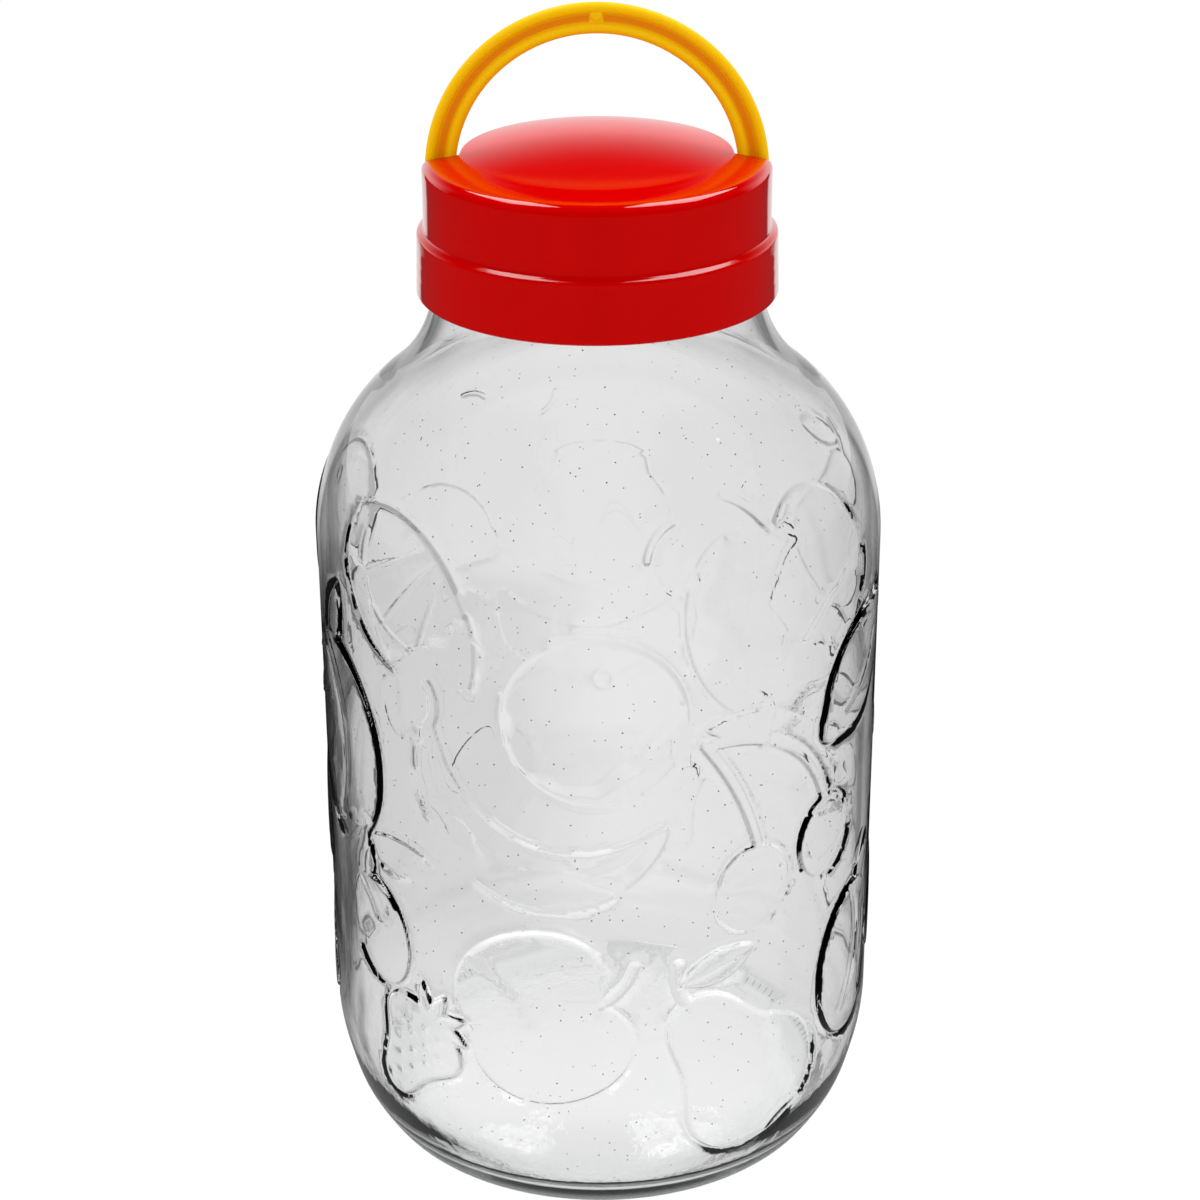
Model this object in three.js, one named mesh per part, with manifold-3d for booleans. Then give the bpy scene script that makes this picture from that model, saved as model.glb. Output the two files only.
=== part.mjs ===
// A five litre glass jar with a wide mouth, a screw cap and a carrying handle that folds into the cap.
// Millimetres, +Z up. The origin is the middle of the ring that the jar stands on.
// The front is -Y: the handle stands in the XZ plane and folds back towards +Y.

import * as THREE from "three";
import { mergeVertices } from "three/addons/utils/BufferGeometryUtils.js";
import Module from "manifold-3d";

const wasm = await Module();
wasm.setup();

// Fineness of the curves.
const TURN_STEPS = 60; // facets round the jar and the cap
const BAIL_STEPS = 96; // facets round a whole ring of the handle
const RAIL_STEPS = 7; // points on each rail of the handle's section
const BORE_STEPS = 20; // facets round a pin or its hole
const DOME_STEPS = 5; // facets from the middle of a dome to its edge
const ARC_STEP_DEG = 10; // turn between two points of a wide arc in a profile
const BEND_STEP_DEG = 20; // the same for a bend
const ROUND_STEP_DEG = 30; // the same for a small rounded edge

// Clearances.
const SEAT_GAP = 0.3; // between the liner and what it is pressed by
const PIN_GAP = 0.25; // round a handle pin in its hole
const FOLD_GAP = 0.4; // under the folded handle, and before it when it stands
const CAP_SIDE_GAP = 1.3; // between the glass mouth and the cap's wall, where the thread is
const DISC_GAP = 1.1; // between the handle and the disc in the middle of the cap
const LINER_SIDE_GAP = 0.4;
const CUT_OVERRUN = 1; // how far a cut runs past the face that it opens

// Glass body, outside, from the base up.
const BODY_RADIUS = 86;
const FOOT_RING_WIDTH = 6; // the flat ring that the jar stands on
const PUSH_UP = 6.5; // rise of the base's underside in the middle
const HEEL_CORNER = 7.5;
const HEEL_ARC = 70;
const HEEL_HEIGHT = 43.3;
const STRAIGHT_HEIGHT = 155.3;
const SHOULDER_ARC = 61.6;
const NECK_ARC = 40.4;
const NECK_RADIUS = 48.1;

// Glass inside.
const WALL = 3.5;
const BASE_THICKNESS = 6.5;
const INNER_HEEL_ARC = 28;
const INNER_HEEL_FLOOR = 8;

// Glass mouth, the part inside the cap.
const FINISH_HEIGHT = 23;
const FINISH_INSET = 0.9; // how much narrower the mouth is than the neck
const FINISH_EASE = 1.2; // height of the slope between the two
const LIP_ROUND_SHARE = 0.38; // of the mouth's wall

// Cap skirt and wall.
const CAP_WALL = 2;
const CAP_OVERLAP = 27.2; // how far the skirt reaches down over the mouth
const SKIRT_HEIGHT = 18.5;
const SKIRT_STEP = 2; // how far the skirt's top stands out from the wall above
const SKIRT_FLARE = 0.5; // how much wider the skirt is at its lower edge
const SKIRT_EDGE_ROUND = 0.6;
const STEP_ROUND = 1.7;
const STEP_FILLET = 0.7;
const STEP_TURN_DEG = 72; // turn of the step's round before its fillet

// Cap top.
const TOP_WALL = 2.2;
const LEDGE_ROUND = 1.4;
const FRONT_RISE = 7.1; // height of the front rim above the ledge at the back
const RIM_ROUND = 3;
const SHELF_SLOPE_DEG = 10;
const DISC_EDGE_ROUND = 1;
const CROWN_RISE = 5.2;
const SEAL_RIB_WIDTH = 2.8; // the ring that presses the liner onto the lip
const END_WALL = 1.8;

// Sealing liner.
const LINER_THICKNESS = 1.8;

// Carrying handle.
const BAIL_INSET = 0.9; // how far the folded handle lies within the cap's wall
const BAIL_WIDTH = 8.9;
const BAIL_DEPTH = 3.6;
const RAIL_WIDTH = 3.2;
const WEB_THICKNESS = 1.4;
const FOOT_HEIGHT = 3.4;
const PIN_RADIUS = 1.45;
const PIN_TIP = 0.7; // what shows of the pin inside the disc's wall
const GATE_RADIUS = 1.7; // the moulding's gate mark, a low round pad
const GATE_INSET = 0.35; // how far it stays below the rails

// Radii that follow from the sizes above.
const BODY_INNER = BODY_RADIUS - WALL;
const BORE_RADIUS = NECK_RADIUS - WALL;
const FINISH_RADIUS = NECK_RADIUS - FINISH_INSET;
const LIP_ROUND = LIP_ROUND_SHARE * (FINISH_RADIUS - BORE_RADIUS);
const UPPER_INNER = FINISH_RADIUS + CAP_SIDE_GAP;
const UPPER_RADIUS = UPPER_INNER + CAP_WALL;
const SKIRT_TOP_RADIUS = UPPER_RADIUS + SKIRT_STEP;
const SKIRT_RADIUS = SKIRT_TOP_RADIUS + SKIRT_FLARE;
const BAIL_RADIUS = UPPER_RADIUS - BAIL_INSET;
const BAIL_INNER_RADIUS = BAIL_RADIUS - BAIL_WIDTH;
const DISC_RADIUS = BAIL_INNER_RADIUS - DISC_GAP;
const DISC_INNER = DISC_RADIUS - CAP_WALL;
const CROWN_EDGE_RADIUS = DISC_RADIUS - DISC_EDGE_ROUND;
const CROWN_SPHERE = (CROWN_EDGE_RADIUS ** 2 + CROWN_RISE ** 2) / (2 * CROWN_RISE);

// Heights and places that follow from the sizes above.
const SHOULDER_AXIS = BODY_RADIUS - SHOULDER_ARC;
const SHOULDER_HEIGHT = HEEL_HEIGHT + STRAIGHT_HEIGHT;
const NECK_ARC_AXIS = NECK_RADIUS + NECK_ARC;
const NECK_HEIGHT =
  SHOULDER_HEIGHT +
  Math.sqrt((SHOULDER_ARC + NECK_ARC) ** 2 - (NECK_ARC_AXIS - SHOULDER_AXIS) ** 2);
const MOUTH_HEIGHT = NECK_HEIGHT + FINISH_HEIGHT;
const CAP_BOTTOM = MOUTH_HEIGHT - CAP_OVERLAP;
const SKIRT_TOP = CAP_BOTTOM + SKIRT_HEIGHT;
const LINER_BOTTOM = MOUTH_HEIGHT + SEAT_GAP;
const LINER_TOP = LINER_BOTTOM + LINER_THICKNESS;
const CEILING_HEIGHT = LINER_TOP + SEAT_GAP;
const LEDGE_HEIGHT = CEILING_HEIGHT + TOP_WALL;
const PIVOT_HEIGHT = LEDGE_HEIGHT + FOLD_GAP + BAIL_DEPTH / 2;
const RIM_CENTRE_HEIGHT = LEDGE_HEIGHT + FRONT_RISE - RIM_ROUND;
const CROWN_EDGE_HEIGHT = shelfHeight(CROWN_EDGE_RADIUS);
const CROWN_HEIGHT = CROWN_EDGE_HEIGHT + CROWN_RISE;
const FRONT_FACE_Y = -(BAIL_DEPTH / 2 + FOLD_GAP);

// Points closer than this share of the body's radius are one point.
const WELD_SHARE = 1e-6;
const WELD = WELD_SHARE * BODY_RADIUS;

// Longer than the whole object, for boxes that bound it on one side only.
const WHOLE_SHARE = 2;
const WHOLE = WHOLE_SHARE * (CROWN_HEIGHT + BODY_RADIUS + BAIL_RADIUS);

// Points of an arc from one angle to another, ends included. Angles are in degrees, 0 is outwards
// along the radius and 90 is up.
function arc(centreRadius, centreHeight, radius, fromDeg, toDeg, stepDeg = ARC_STEP_DEG) {
  const steps = Math.max(1, Math.ceil(Math.abs(toDeg - fromDeg) / stepDeg));
  const points = [];
  for (let i = 0; i <= steps; i += 1) {
    const angle = THREE.MathUtils.degToRad(fromDeg + ((toDeg - fromDeg) * i) / steps);
    points.push([centreRadius + radius * Math.cos(angle), centreHeight + radius * Math.sin(angle)]);
  }
  return points;
}

// The angle, in degrees, of the direction from one profile point to another.
function bearing(from, to) {
  return THREE.MathUtils.radToDeg(Math.atan2(to[1] - from[1], to[0] - from[0]));
}

// A profile without points that lie on the one before.
function cleanProfile(points) {
  return points.filter((point, i) => {
    const last = points[i - 1];
    return !last || Math.hypot(point[0] - last[0], point[1] - last[1]) > WELD;
  });
}

// A closed mesh as a solid that can be joined and cut.
function toSolid(geometry) {
  const bare = geometry.index ? geometry.toNonIndexed() : geometry.clone();
  bare.deleteAttribute("normal");
  bare.deleteAttribute("uv");
  const merged = mergeVertices(bare, WELD);
  return new wasm.Manifold(
    new wasm.Mesh({
      numProp: 3,
      vertProperties: new Float32Array(merged.attributes.position.array),
      triVerts: new Uint32Array(merged.index.array),
    }),
  );
}

function toGeometry(solid) {
  const mesh = solid.getMesh();
  const geometry = new THREE.BufferGeometry();
  geometry.setAttribute("position", new THREE.BufferAttribute(mesh.vertProperties, 3));
  geometry.setIndex(new THREE.BufferAttribute(mesh.triVerts, 1));
  geometry.computeVertexNormals();
  return geometry;
}

// A solid of revolution about Z. The profile runs anticlockwise with the radius to the right and
// the height up, and either starts and ends on the axis or is closed by its first point.
function revolve(profile, steps = TURN_STEPS) {
  const points = cleanProfile(profile).map(([radius, height]) => new THREE.Vector2(radius, height));
  if (points[0].x > 0) points.push(points[0].clone());
  const geometry = new THREE.LatheGeometry(points, steps);
  geometry.rotateX(Math.PI / 2);
  return toSolid(geometry);
}

// A box between two corners.
function block(low, high) {
  const size = high.map((value, i) => value - low[i]);
  const geometry = new THREE.BoxGeometry(...size);
  geometry.translate(...low.map((value, i) => value + size[i] / 2));
  return toSolid(geometry);
}

// A cylinder along X.
function bar(radius, fromX, toX, y, z) {
  const geometry = new THREE.CylinderGeometry(radius, radius, toX - fromX, BORE_STEPS);
  geometry.rotateZ(Math.PI / 2);
  geometry.translate((fromX + toX) / 2, y, z);
  return toSolid(geometry);
}

// Everything that lies further forward (-Y) than a given place.
function inFrontOf(y) {
  return block([-WHOLE, -WHOLE, 0], [WHOLE, y, WHOLE]);
}

function meshOf(name, solid, material) {
  const mesh = new THREE.Mesh(toGeometry(solid), material);
  mesh.name = name;
  return mesh;
}

// The outside of the glass, from the middle of the base to the outer edge of the lip.
function glassOutside() {
  const heelAxis = BODY_RADIUS - HEEL_ARC;
  const cornerAxis =
    heelAxis + Math.sqrt((HEEL_ARC - HEEL_CORNER) ** 2 - (HEEL_HEIGHT - HEEL_CORNER) ** 2);
  const heelStart = bearing([heelAxis, HEEL_HEIGHT], [cornerAxis, HEEL_CORNER]);
  const pushUpEdge = cornerAxis - FOOT_RING_WIDTH;
  const pushUpSphere = (pushUpEdge ** 2 + PUSH_UP ** 2) / (2 * PUSH_UP);
  const pushUpTurn = THREE.MathUtils.radToDeg(Math.asin(pushUpEdge / pushUpSphere));
  const neckStart = bearing([NECK_ARC_AXIS, NECK_HEIGHT], [SHOULDER_AXIS, SHOULDER_HEIGHT]);
  return [
    ...arc(0, PUSH_UP - pushUpSphere, pushUpSphere, 90, 90 - pushUpTurn, pushUpTurn / DOME_STEPS),
    ...arc(cornerAxis, HEEL_CORNER, HEEL_CORNER, -90, heelStart, BEND_STEP_DEG),
    ...arc(heelAxis, HEEL_HEIGHT, HEEL_ARC, heelStart, 0),
    ...arc(SHOULDER_AXIS, SHOULDER_HEIGHT, SHOULDER_ARC, 0, neckStart + 180),
    ...arc(NECK_ARC_AXIS, NECK_HEIGHT, NECK_ARC, neckStart + 360, 180),
    [FINISH_RADIUS, NECK_HEIGHT + FINISH_EASE],
    ...arc(FINISH_RADIUS - LIP_ROUND, MOUTH_HEIGHT - LIP_ROUND, LIP_ROUND, 0, 90, ROUND_STEP_DEG),
  ];
}

// The inside of the glass, from the inner edge of the lip down to the middle of the base.
function glassInside() {
  const heelAxis = BODY_INNER - INNER_HEEL_ARC;
  const heelHeight = INNER_HEEL_FLOOR + INNER_HEEL_ARC;
  const neckStart = bearing([NECK_ARC_AXIS, NECK_HEIGHT], [SHOULDER_AXIS, SHOULDER_HEIGHT]);
  const floorRise = PUSH_UP + BASE_THICKNESS - INNER_HEEL_FLOOR;
  const floorSphere = (heelAxis ** 2 + floorRise ** 2) / (2 * floorRise);
  const floorTurn = THREE.MathUtils.radToDeg(Math.asin(heelAxis / floorSphere));
  const floorCentre = PUSH_UP + BASE_THICKNESS - floorSphere;
  return [
    ...arc(BORE_RADIUS + LIP_ROUND, MOUTH_HEIGHT - LIP_ROUND, LIP_ROUND, 90, 180, ROUND_STEP_DEG),
    ...arc(NECK_ARC_AXIS, NECK_HEIGHT, NECK_ARC + WALL, 180, neckStart + 360),
    ...arc(SHOULDER_AXIS, SHOULDER_HEIGHT, SHOULDER_ARC - WALL, neckStart + 180, 0),
    ...arc(heelAxis, heelHeight, INNER_HEEL_ARC, 0, -90, BEND_STEP_DEG),
    ...arc(0, floorCentre, floorSphere, 90 - floorTurn, 90, floorTurn / DOME_STEPS),
  ];
}

function glassJar() {
  const profile = [...glassOutside(), ...glassInside()];
  profile[0][0] = 0;
  profile[profile.length - 1][0] = 0;
  return revolve(profile);
}

// The angle, in degrees, that the crown slopes at a radius, with its sphere drawn in by an inset.
function crownTurn(inset, radius) {
  return THREE.MathUtils.radToDeg(Math.asin(radius / (CROWN_SPHERE - inset)));
}

// The crown's surface, or one parallel to it below, from a radius to the axis.
function crownArc(inset, edgeRadius) {
  const turn = crownTurn(inset, edgeRadius);
  const centreHeight = CROWN_HEIGHT - CROWN_SPHERE;
  return arc(0, centreHeight, CROWN_SPHERE - inset, 90 - turn, 90, turn / DOME_STEPS);
}

// The round of the cap's front rim, from the wall up to where the shelf starts.
function rimArc() {
  const centreRadius = UPPER_RADIUS - RIM_ROUND;
  return arc(centreRadius, RIM_CENTRE_HEIGHT, RIM_ROUND, 0, 90 - SHELF_SLOPE_DEG, BEND_STEP_DEG);
}

// Height of the front shelf's upper surface at a radius.
function shelfHeight(radius) {
  const [startRadius, startHeight] = rimArc().pop();
  return startHeight + (startRadius - radius) * Math.tan(THREE.MathUtils.degToRad(SHELF_SLOPE_DEG));
}

// A rounded outer edge of the cap, given the radius and the height that it leads to.
function outerRound(edgeRadius, topHeight, round, toDeg) {
  return arc(edgeRadius - round, topHeight - round, round, 0, toDeg, ROUND_STEP_DEG);
}

// The whole cap as it is at the back: skirt, step, wall, ledge for the folded handle, and disc.
function capShell() {
  const lowerEdge = arc(
    SKIRT_RADIUS - SKIRT_EDGE_ROUND,
    CAP_BOTTOM + SKIRT_EDGE_ROUND,
    SKIRT_EDGE_ROUND,
    -90,
    0,
    ROUND_STEP_DEG,
  );
  const stepFillet = arc(
    UPPER_RADIUS + STEP_FILLET,
    SKIRT_TOP + STEP_FILLET,
    STEP_FILLET,
    180 + STEP_TURN_DEG,
    180,
    ROUND_STEP_DEG,
  );
  const outside = [
    ...lowerEdge,
    ...outerRound(SKIRT_TOP_RADIUS, SKIRT_TOP, STEP_ROUND, STEP_TURN_DEG),
    ...stepFillet,
    ...outerRound(UPPER_RADIUS, LEDGE_HEIGHT, LEDGE_ROUND, 90),
    [DISC_RADIUS, LEDGE_HEIGHT],
    ...outerRound(DISC_RADIUS, CROWN_EDGE_HEIGHT, DISC_EDGE_ROUND, 90 - crownTurn(0, CROWN_EDGE_RADIUS)),
    ...crownArc(0, CROWN_EDGE_RADIUS),
  ];
  const inside = [
    ...crownArc(TOP_WALL, DISC_INNER).reverse(),
    [DISC_INNER, CEILING_HEIGHT],
    [UPPER_INNER, CEILING_HEIGHT],
    [UPPER_INNER, SKIRT_TOP - CAP_WALL],
    [SKIRT_TOP_RADIUS - CAP_WALL, SKIRT_TOP - CAP_WALL],
    [SKIRT_RADIUS - CAP_WALL, CAP_BOTTOM],
  ];
  outside[outside.length - 1][0] = 0;
  inside[0][0] = 0;
  // the two runs meet at the skirt's lower edge, so the profile starts and ends on the axis
  return revolve([...inside, ...outside]);
}

// The raised front half of the cap's top, solid, before it is cored from below.
function frontBlock() {
  const innerRadius = CROWN_EDGE_RADIUS - DISC_EDGE_ROUND;
  const ring = revolve([
    [innerRadius, CEILING_HEIGHT],
    [UPPER_RADIUS, CEILING_HEIGHT],
    ...rimArc(),
    [CROWN_EDGE_RADIUS, CROWN_EDGE_HEIGHT],
    [innerRadius, CROWN_EDGE_HEIGHT],
  ]);
  return ring.intersect(inFrontOf(FRONT_FACE_Y));
}

// One ring of the coring under the front shelf, between two radii, open downwards.
function frontCore(innerRadius, outerRadius) {
  const ring = revolve([
    [innerRadius, CEILING_HEIGHT - CUT_OVERRUN],
    [outerRadius, CEILING_HEIGHT - CUT_OVERRUN],
    [outerRadius, shelfHeight(outerRadius) - TOP_WALL],
    [innerRadius, shelfHeight(innerRadius) - TOP_WALL],
  ]);
  return ring.intersect(inFrontOf(FRONT_FACE_Y - END_WALL));
}

// The cap, with the rib that presses the liner left standing between two rings of coring.
function screwCap() {
  const landMiddle = (BORE_RADIUS + FINISH_RADIUS) / 2;
  const pinHole = bar(PIN_RADIUS + PIN_GAP, DISC_INNER - CUT_OVERRUN, BAIL_INNER_RADIUS, 0, PIVOT_HEIGHT);
  return capShell()
    .add(frontBlock())
    .subtract(frontCore(DISC_RADIUS, landMiddle - SEAL_RIB_WIDTH / 2))
    .subtract(frontCore(landMiddle + SEAL_RIB_WIDTH / 2, UPPER_INNER))
    .subtract(pinHole)
    .subtract(pinHole.mirror([1, 0, 0]));
}

function sealingLiner() {
  const radius = UPPER_INNER - LINER_SIDE_GAP;
  return revolve([
    [0, LINER_BOTTOM],
    [radius, LINER_BOTTOM],
    [radius, LINER_TOP],
    [0, LINER_TOP],
  ]);
}

// Half of one rail's outline in the handle's section, leaving and meeting the web.
function railPoints(centreRadius, fromDeg, toDeg) {
  const points = [];
  for (let i = 0; i < RAIL_STEPS; i += 1) {
    const angle = THREE.MathUtils.degToRad(fromDeg + ((toDeg - fromDeg) * i) / (RAIL_STEPS - 1));
    points.push([
      centreRadius + (RAIL_WIDTH / 2) * Math.cos(angle),
      (BAIL_DEPTH / 2) * Math.sin(angle),
    ]);
  }
  return points;
}

// The handle's bow: two round rails joined by a thin web, turned about the Y axis.
function bow() {
  const webDeg = THREE.MathUtils.radToDeg(Math.asin(WEB_THICKNESS / BAIL_DEPTH));
  const section = [
    ...railPoints(BAIL_RADIUS - RAIL_WIDTH / 2, webDeg - 180, 180 - webDeg),
    ...railPoints(BAIL_INNER_RADIUS + RAIL_WIDTH / 2, webDeg, 360 - webDeg),
  ];
  const points = [...section, section[0]].map(([radius, y]) => new THREE.Vector2(radius, y));
  const ring = toSolid(new THREE.LatheGeometry(points, BAIL_STEPS));
  return ring.intersect(block([-WHOLE, -WHOLE, 0], [WHOLE, WHOLE, WHOLE]));
}

// One foot at +X: the leg's filled end, rounded about the pivot, and its pin.
function foot() {
  const depth = BAIL_DEPTH / 2;
  const outer = Math.sqrt(BAIL_RADIUS ** 2 - FOOT_HEIGHT ** 2);
  const end = block([BAIL_INNER_RADIUS, -depth, 0], [outer, depth, FOOT_HEIGHT]);
  const round = bar(depth, BAIL_INNER_RADIUS, outer, 0, 0);
  const pin = bar(PIN_RADIUS, DISC_INNER - PIN_TIP, BAIL_INNER_RADIUS + RAIL_WIDTH / 2, 0, 0);
  return end.add(round).add(pin);
}

function carryingHandle() {
  const side = foot();
  const gateHeight = BAIL_DEPTH / 2 - GATE_INSET;
  const gate = new THREE.CylinderGeometry(GATE_RADIUS, GATE_RADIUS, gateHeight, BORE_STEPS);
  gate.translate(0, -gateHeight / 2, BAIL_RADIUS - RAIL_WIDTH);
  return bow().add(side).add(side.mirror([1, 0, 0])).add(toSolid(gate));
}

const glass = new THREE.MeshStandardMaterial({
  color: 0xe6ebea,
  roughness: 0.04,
  metalness: 0,
  transparent: true,
  opacity: 0.35,
});
const redPlastic = new THREE.MeshStandardMaterial({ color: 0xd40606, roughness: 0.18, metalness: 0 });
const whiteFoam = new THREE.MeshStandardMaterial({ color: 0xeeeeea, roughness: 0.8, metalness: 0 });
const yellowPlastic = new THREE.MeshStandardMaterial({ color: 0xf6b800, roughness: 0.3, metalness: 0 });

const jar = new THREE.Group();
jar.add(meshOf("glass_jar", glassJar(), glass));

const lid = new THREE.Group();
lid.add(meshOf("screw_cap", screwCap(), redPlastic));
lid.add(meshOf("sealing_liner", sealingLiner(), whiteFoam));
jar.add(lid);

const handle = meshOf("carrying_handle", carryingHandle(), yellowPlastic);
handle.position.z = PIVOT_HEIGHT;
lid.add(handle);

export default jar;
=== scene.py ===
"""A five litre storage jar of clear glass with a red screw cap and a yellow carrying handle.

Sizes in the classes are millimetres, in the frame of the CAD model: +Z up, -Y to the front.
"""

import logging
import math
from collections.abc import Callable
from dataclasses import dataclass, field
from enum import Enum

import bmesh
import bpy
import numpy as np
from mathutils import Matrix, Vector


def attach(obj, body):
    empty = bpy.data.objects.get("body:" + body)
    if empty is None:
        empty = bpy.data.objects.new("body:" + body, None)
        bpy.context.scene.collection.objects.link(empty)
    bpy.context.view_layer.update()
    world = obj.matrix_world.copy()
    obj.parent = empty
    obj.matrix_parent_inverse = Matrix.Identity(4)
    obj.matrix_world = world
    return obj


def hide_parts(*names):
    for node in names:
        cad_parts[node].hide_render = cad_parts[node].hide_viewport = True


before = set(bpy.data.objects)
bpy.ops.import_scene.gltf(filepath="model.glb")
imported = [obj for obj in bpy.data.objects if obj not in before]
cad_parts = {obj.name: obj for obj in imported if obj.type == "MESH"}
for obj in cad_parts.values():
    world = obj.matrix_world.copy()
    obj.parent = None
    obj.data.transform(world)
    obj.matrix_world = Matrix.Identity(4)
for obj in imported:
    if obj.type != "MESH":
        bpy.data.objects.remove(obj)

LOG = logging.getLogger("jar")
MM = 0.001
Point = tuple[float, float]
Profile = list[Point]
Colour = tuple[float, float, float, float]
Ramp = tuple[float, float, float, float]  # where it starts and ends, and its values there
WHITE: Colour = (1, 1, 1, 1)
SAME_POINT = 1e-4  # points of a profile closer than this are one, in mm
MERGE = 1e-3 * MM  # vertices closer than this are one, in metres
SLIGHT = 1e-6  # a coordinate this near to nought counts as nought, in metres
FAR_OFF = 1e3  # a distance beyond everything, in mm
SIDES = (-1, 1)  # left and right
PIVOT = 307.742  # height of the axis that the handle folds about
PIN_FACETS = 32
SHARP = 35.0  # edges that turn by more than this many degrees stay crisp


# Profiles and turned shapes


def arc(centre: Point, radius: float, start: float, end: float, step: float) -> Profile:
    """Points of an arc, ends included.

    Args:
        centre: radius and height of the arc's centre, in mm.
        radius: radius of the arc, in mm.
        start: first angle in degrees, 0 outwards and 90 upwards.
        end: last angle in degrees.
        step: longest distance between two points, in mm.

    Returns:
        The points in order.
    """
    length = abs(math.radians(end - start)) * radius
    angles = np.radians(np.linspace(start, end, max(2, math.ceil(length / step)) + 1))
    return [(centre[0] + radius * math.cos(a), centre[1] + radius * math.sin(a)) for a in angles]


def run(points: Profile, step: float) -> Profile:
    """Straight lines through some points, divided evenly.

    Args:
        points: the corners, in mm.
        step: longest distance between two points, in mm.

    Returns:
        The corners and the points between them.
    """
    made = [points[0]]
    for (r0, z0), (r1, z1) in zip(points, points[1:]):
        parts = max(1, math.ceil(math.hypot(r1 - r0, z1 - z0) / step))
        made += [(r0 + (r1 - r0) * i / parts, z0 + (z1 - z0) * i / parts) for i in range(1, parts + 1)]
    return made


def bearing(start: Point, end: Point) -> float:
    """The direction from one profile point to another, in degrees."""
    return math.degrees(math.atan2(end[1] - start[1], end[0] - start[0]))


def lathe(profile: Profile, steps: int) -> bmesh.types.BMesh:
    """Spins a profile about the Z axis into a closed shell.

    Args:
        profile: radius and height of each point. It starts and ends on the axis, or is closed.
        steps: facets round the axis.

    Returns:
        The mesh, with merged seam and poles and its faces pointing outwards.
    """
    made = bmesh.new()
    kept = [profile[0]]
    kept += [p for last, p in zip(profile, profile[1:]) if math.dist(last, p) > SAME_POINT]
    ring = [made.verts.new((r * MM, 0, z * MM)) for r, z in kept]
    edges = [made.edges.new(pair) for pair in zip(ring, ring[1:])]
    if kept[0][0] > SAME_POINT:
        edges.append(made.edges.new((ring[-1], ring[0])))
    bmesh.ops.spin(
        made, geom=ring + edges, cent=(0, 0, 0), axis=(0, 0, 1), angle=math.tau, steps=steps,
        use_merge=True,
    )
    bmesh.ops.remove_doubles(made, verts=made.verts, dist=MERGE)
    bmesh.ops.recalc_face_normals(made, faces=made.faces)
    return made


def finish_piece(name: str, made: bmesh.types.BMesh, sharp: float = SHARP) -> bpy.types.Object:
    """Turns a mesh in work into a smooth object of the scene.

    Args:
        name: name of the object.
        made: its mesh in metres, in place. It is freed.
        sharp: edges that turn by more than this many degrees stay crisp.

    Returns:
        The object, at the origin.
    """
    mesh = bpy.data.meshes.new(name)
    made.to_mesh(mesh)
    made.free()
    mesh.shade_smooth()
    mesh.set_sharp_from_angle(angle=math.radians(sharp))
    piece = bpy.data.objects.new(name, mesh)
    bpy.context.scene.collection.objects.link(piece)
    return piece


def carve(piece: bpy.types.Object, tool: bmesh.types.BMesh, operation: str) -> None:
    """Joins or cuts a piece with a closed tool shape.

    Args:
        piece: the object to change.
        tool: the other shape. It is freed.
        operation: UNION, DIFFERENCE or INTERSECT.
    """
    cutter = finish_piece(f"{piece.name}_tool", tool)
    modifier = piece.modifiers.new("carve", "BOOLEAN")
    modifier.object = cutter
    modifier.operation = operation
    modifier.solver = "MANIFOLD"
    graph = bpy.context.evaluated_depsgraph_get()
    result = bpy.data.meshes.new_from_object(piece.evaluated_get(graph))
    piece.modifiers.clear()
    old, piece.data = piece.data, result
    bpy.data.meshes.remove(old)
    bpy.data.objects.remove(cutter)


def dress(piece: bpy.types.Object, material: bpy.types.Material, sharp: float) -> None:
    """Gives a carved piece its crisp edges and its only material.

    Args:
        piece: the object.
        material: its material.
        sharp: edges that turn by more than this many degrees stay crisp.
    """
    piece.data.set_sharp_from_angle(angle=math.radians(sharp))
    piece.data.materials.clear()
    piece.data.materials.append(material)


def rod(radius: float, start: Vector, end: Vector, facets: int, ease: float = 0.0) -> bmesh.types.BMesh:
    """A round bar between two points.

    Args:
        radius: its radius, in mm.
        start: middle of one end, in mm.
        end: middle of the other end, in mm.
        facets: facets round it.
        ease: bevel round both ends, in mm.

    Returns:
        The closed mesh.
    """
    made = bmesh.new()
    along = end - start
    turn = along.to_track_quat("Z", "Y").to_matrix().to_4x4()
    place = Matrix.Translation((start + end) / 2 * MM) @ turn
    bmesh.ops.create_cone(
        made, cap_ends=True, segments=facets, radius1=radius * MM, radius2=radius * MM,
        depth=along.length * MM, matrix=place,
    )
    if ease:
        rims = [e for e in made.edges if any(len(f.verts) > 4 for f in e.link_faces)]
        bevel(made, rims, ease, 2)
    return made


def bevel(made: bmesh.types.BMesh, edges: list[bmesh.types.BMEdge], width: float, segments: int) -> None:
    """Rounds some edges.

    Args:
        made: the mesh that holds them.
        edges: the edges.
        width: width of the round, in mm.
        segments: facets across it.
    """
    bmesh.ops.bevel(
        made, geom=edges, offset=width * MM, segments=segments, profile=0.5, affect="EDGES", material=-1,
        clamp_overlap=True,
    )


# Shader nodes


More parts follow.
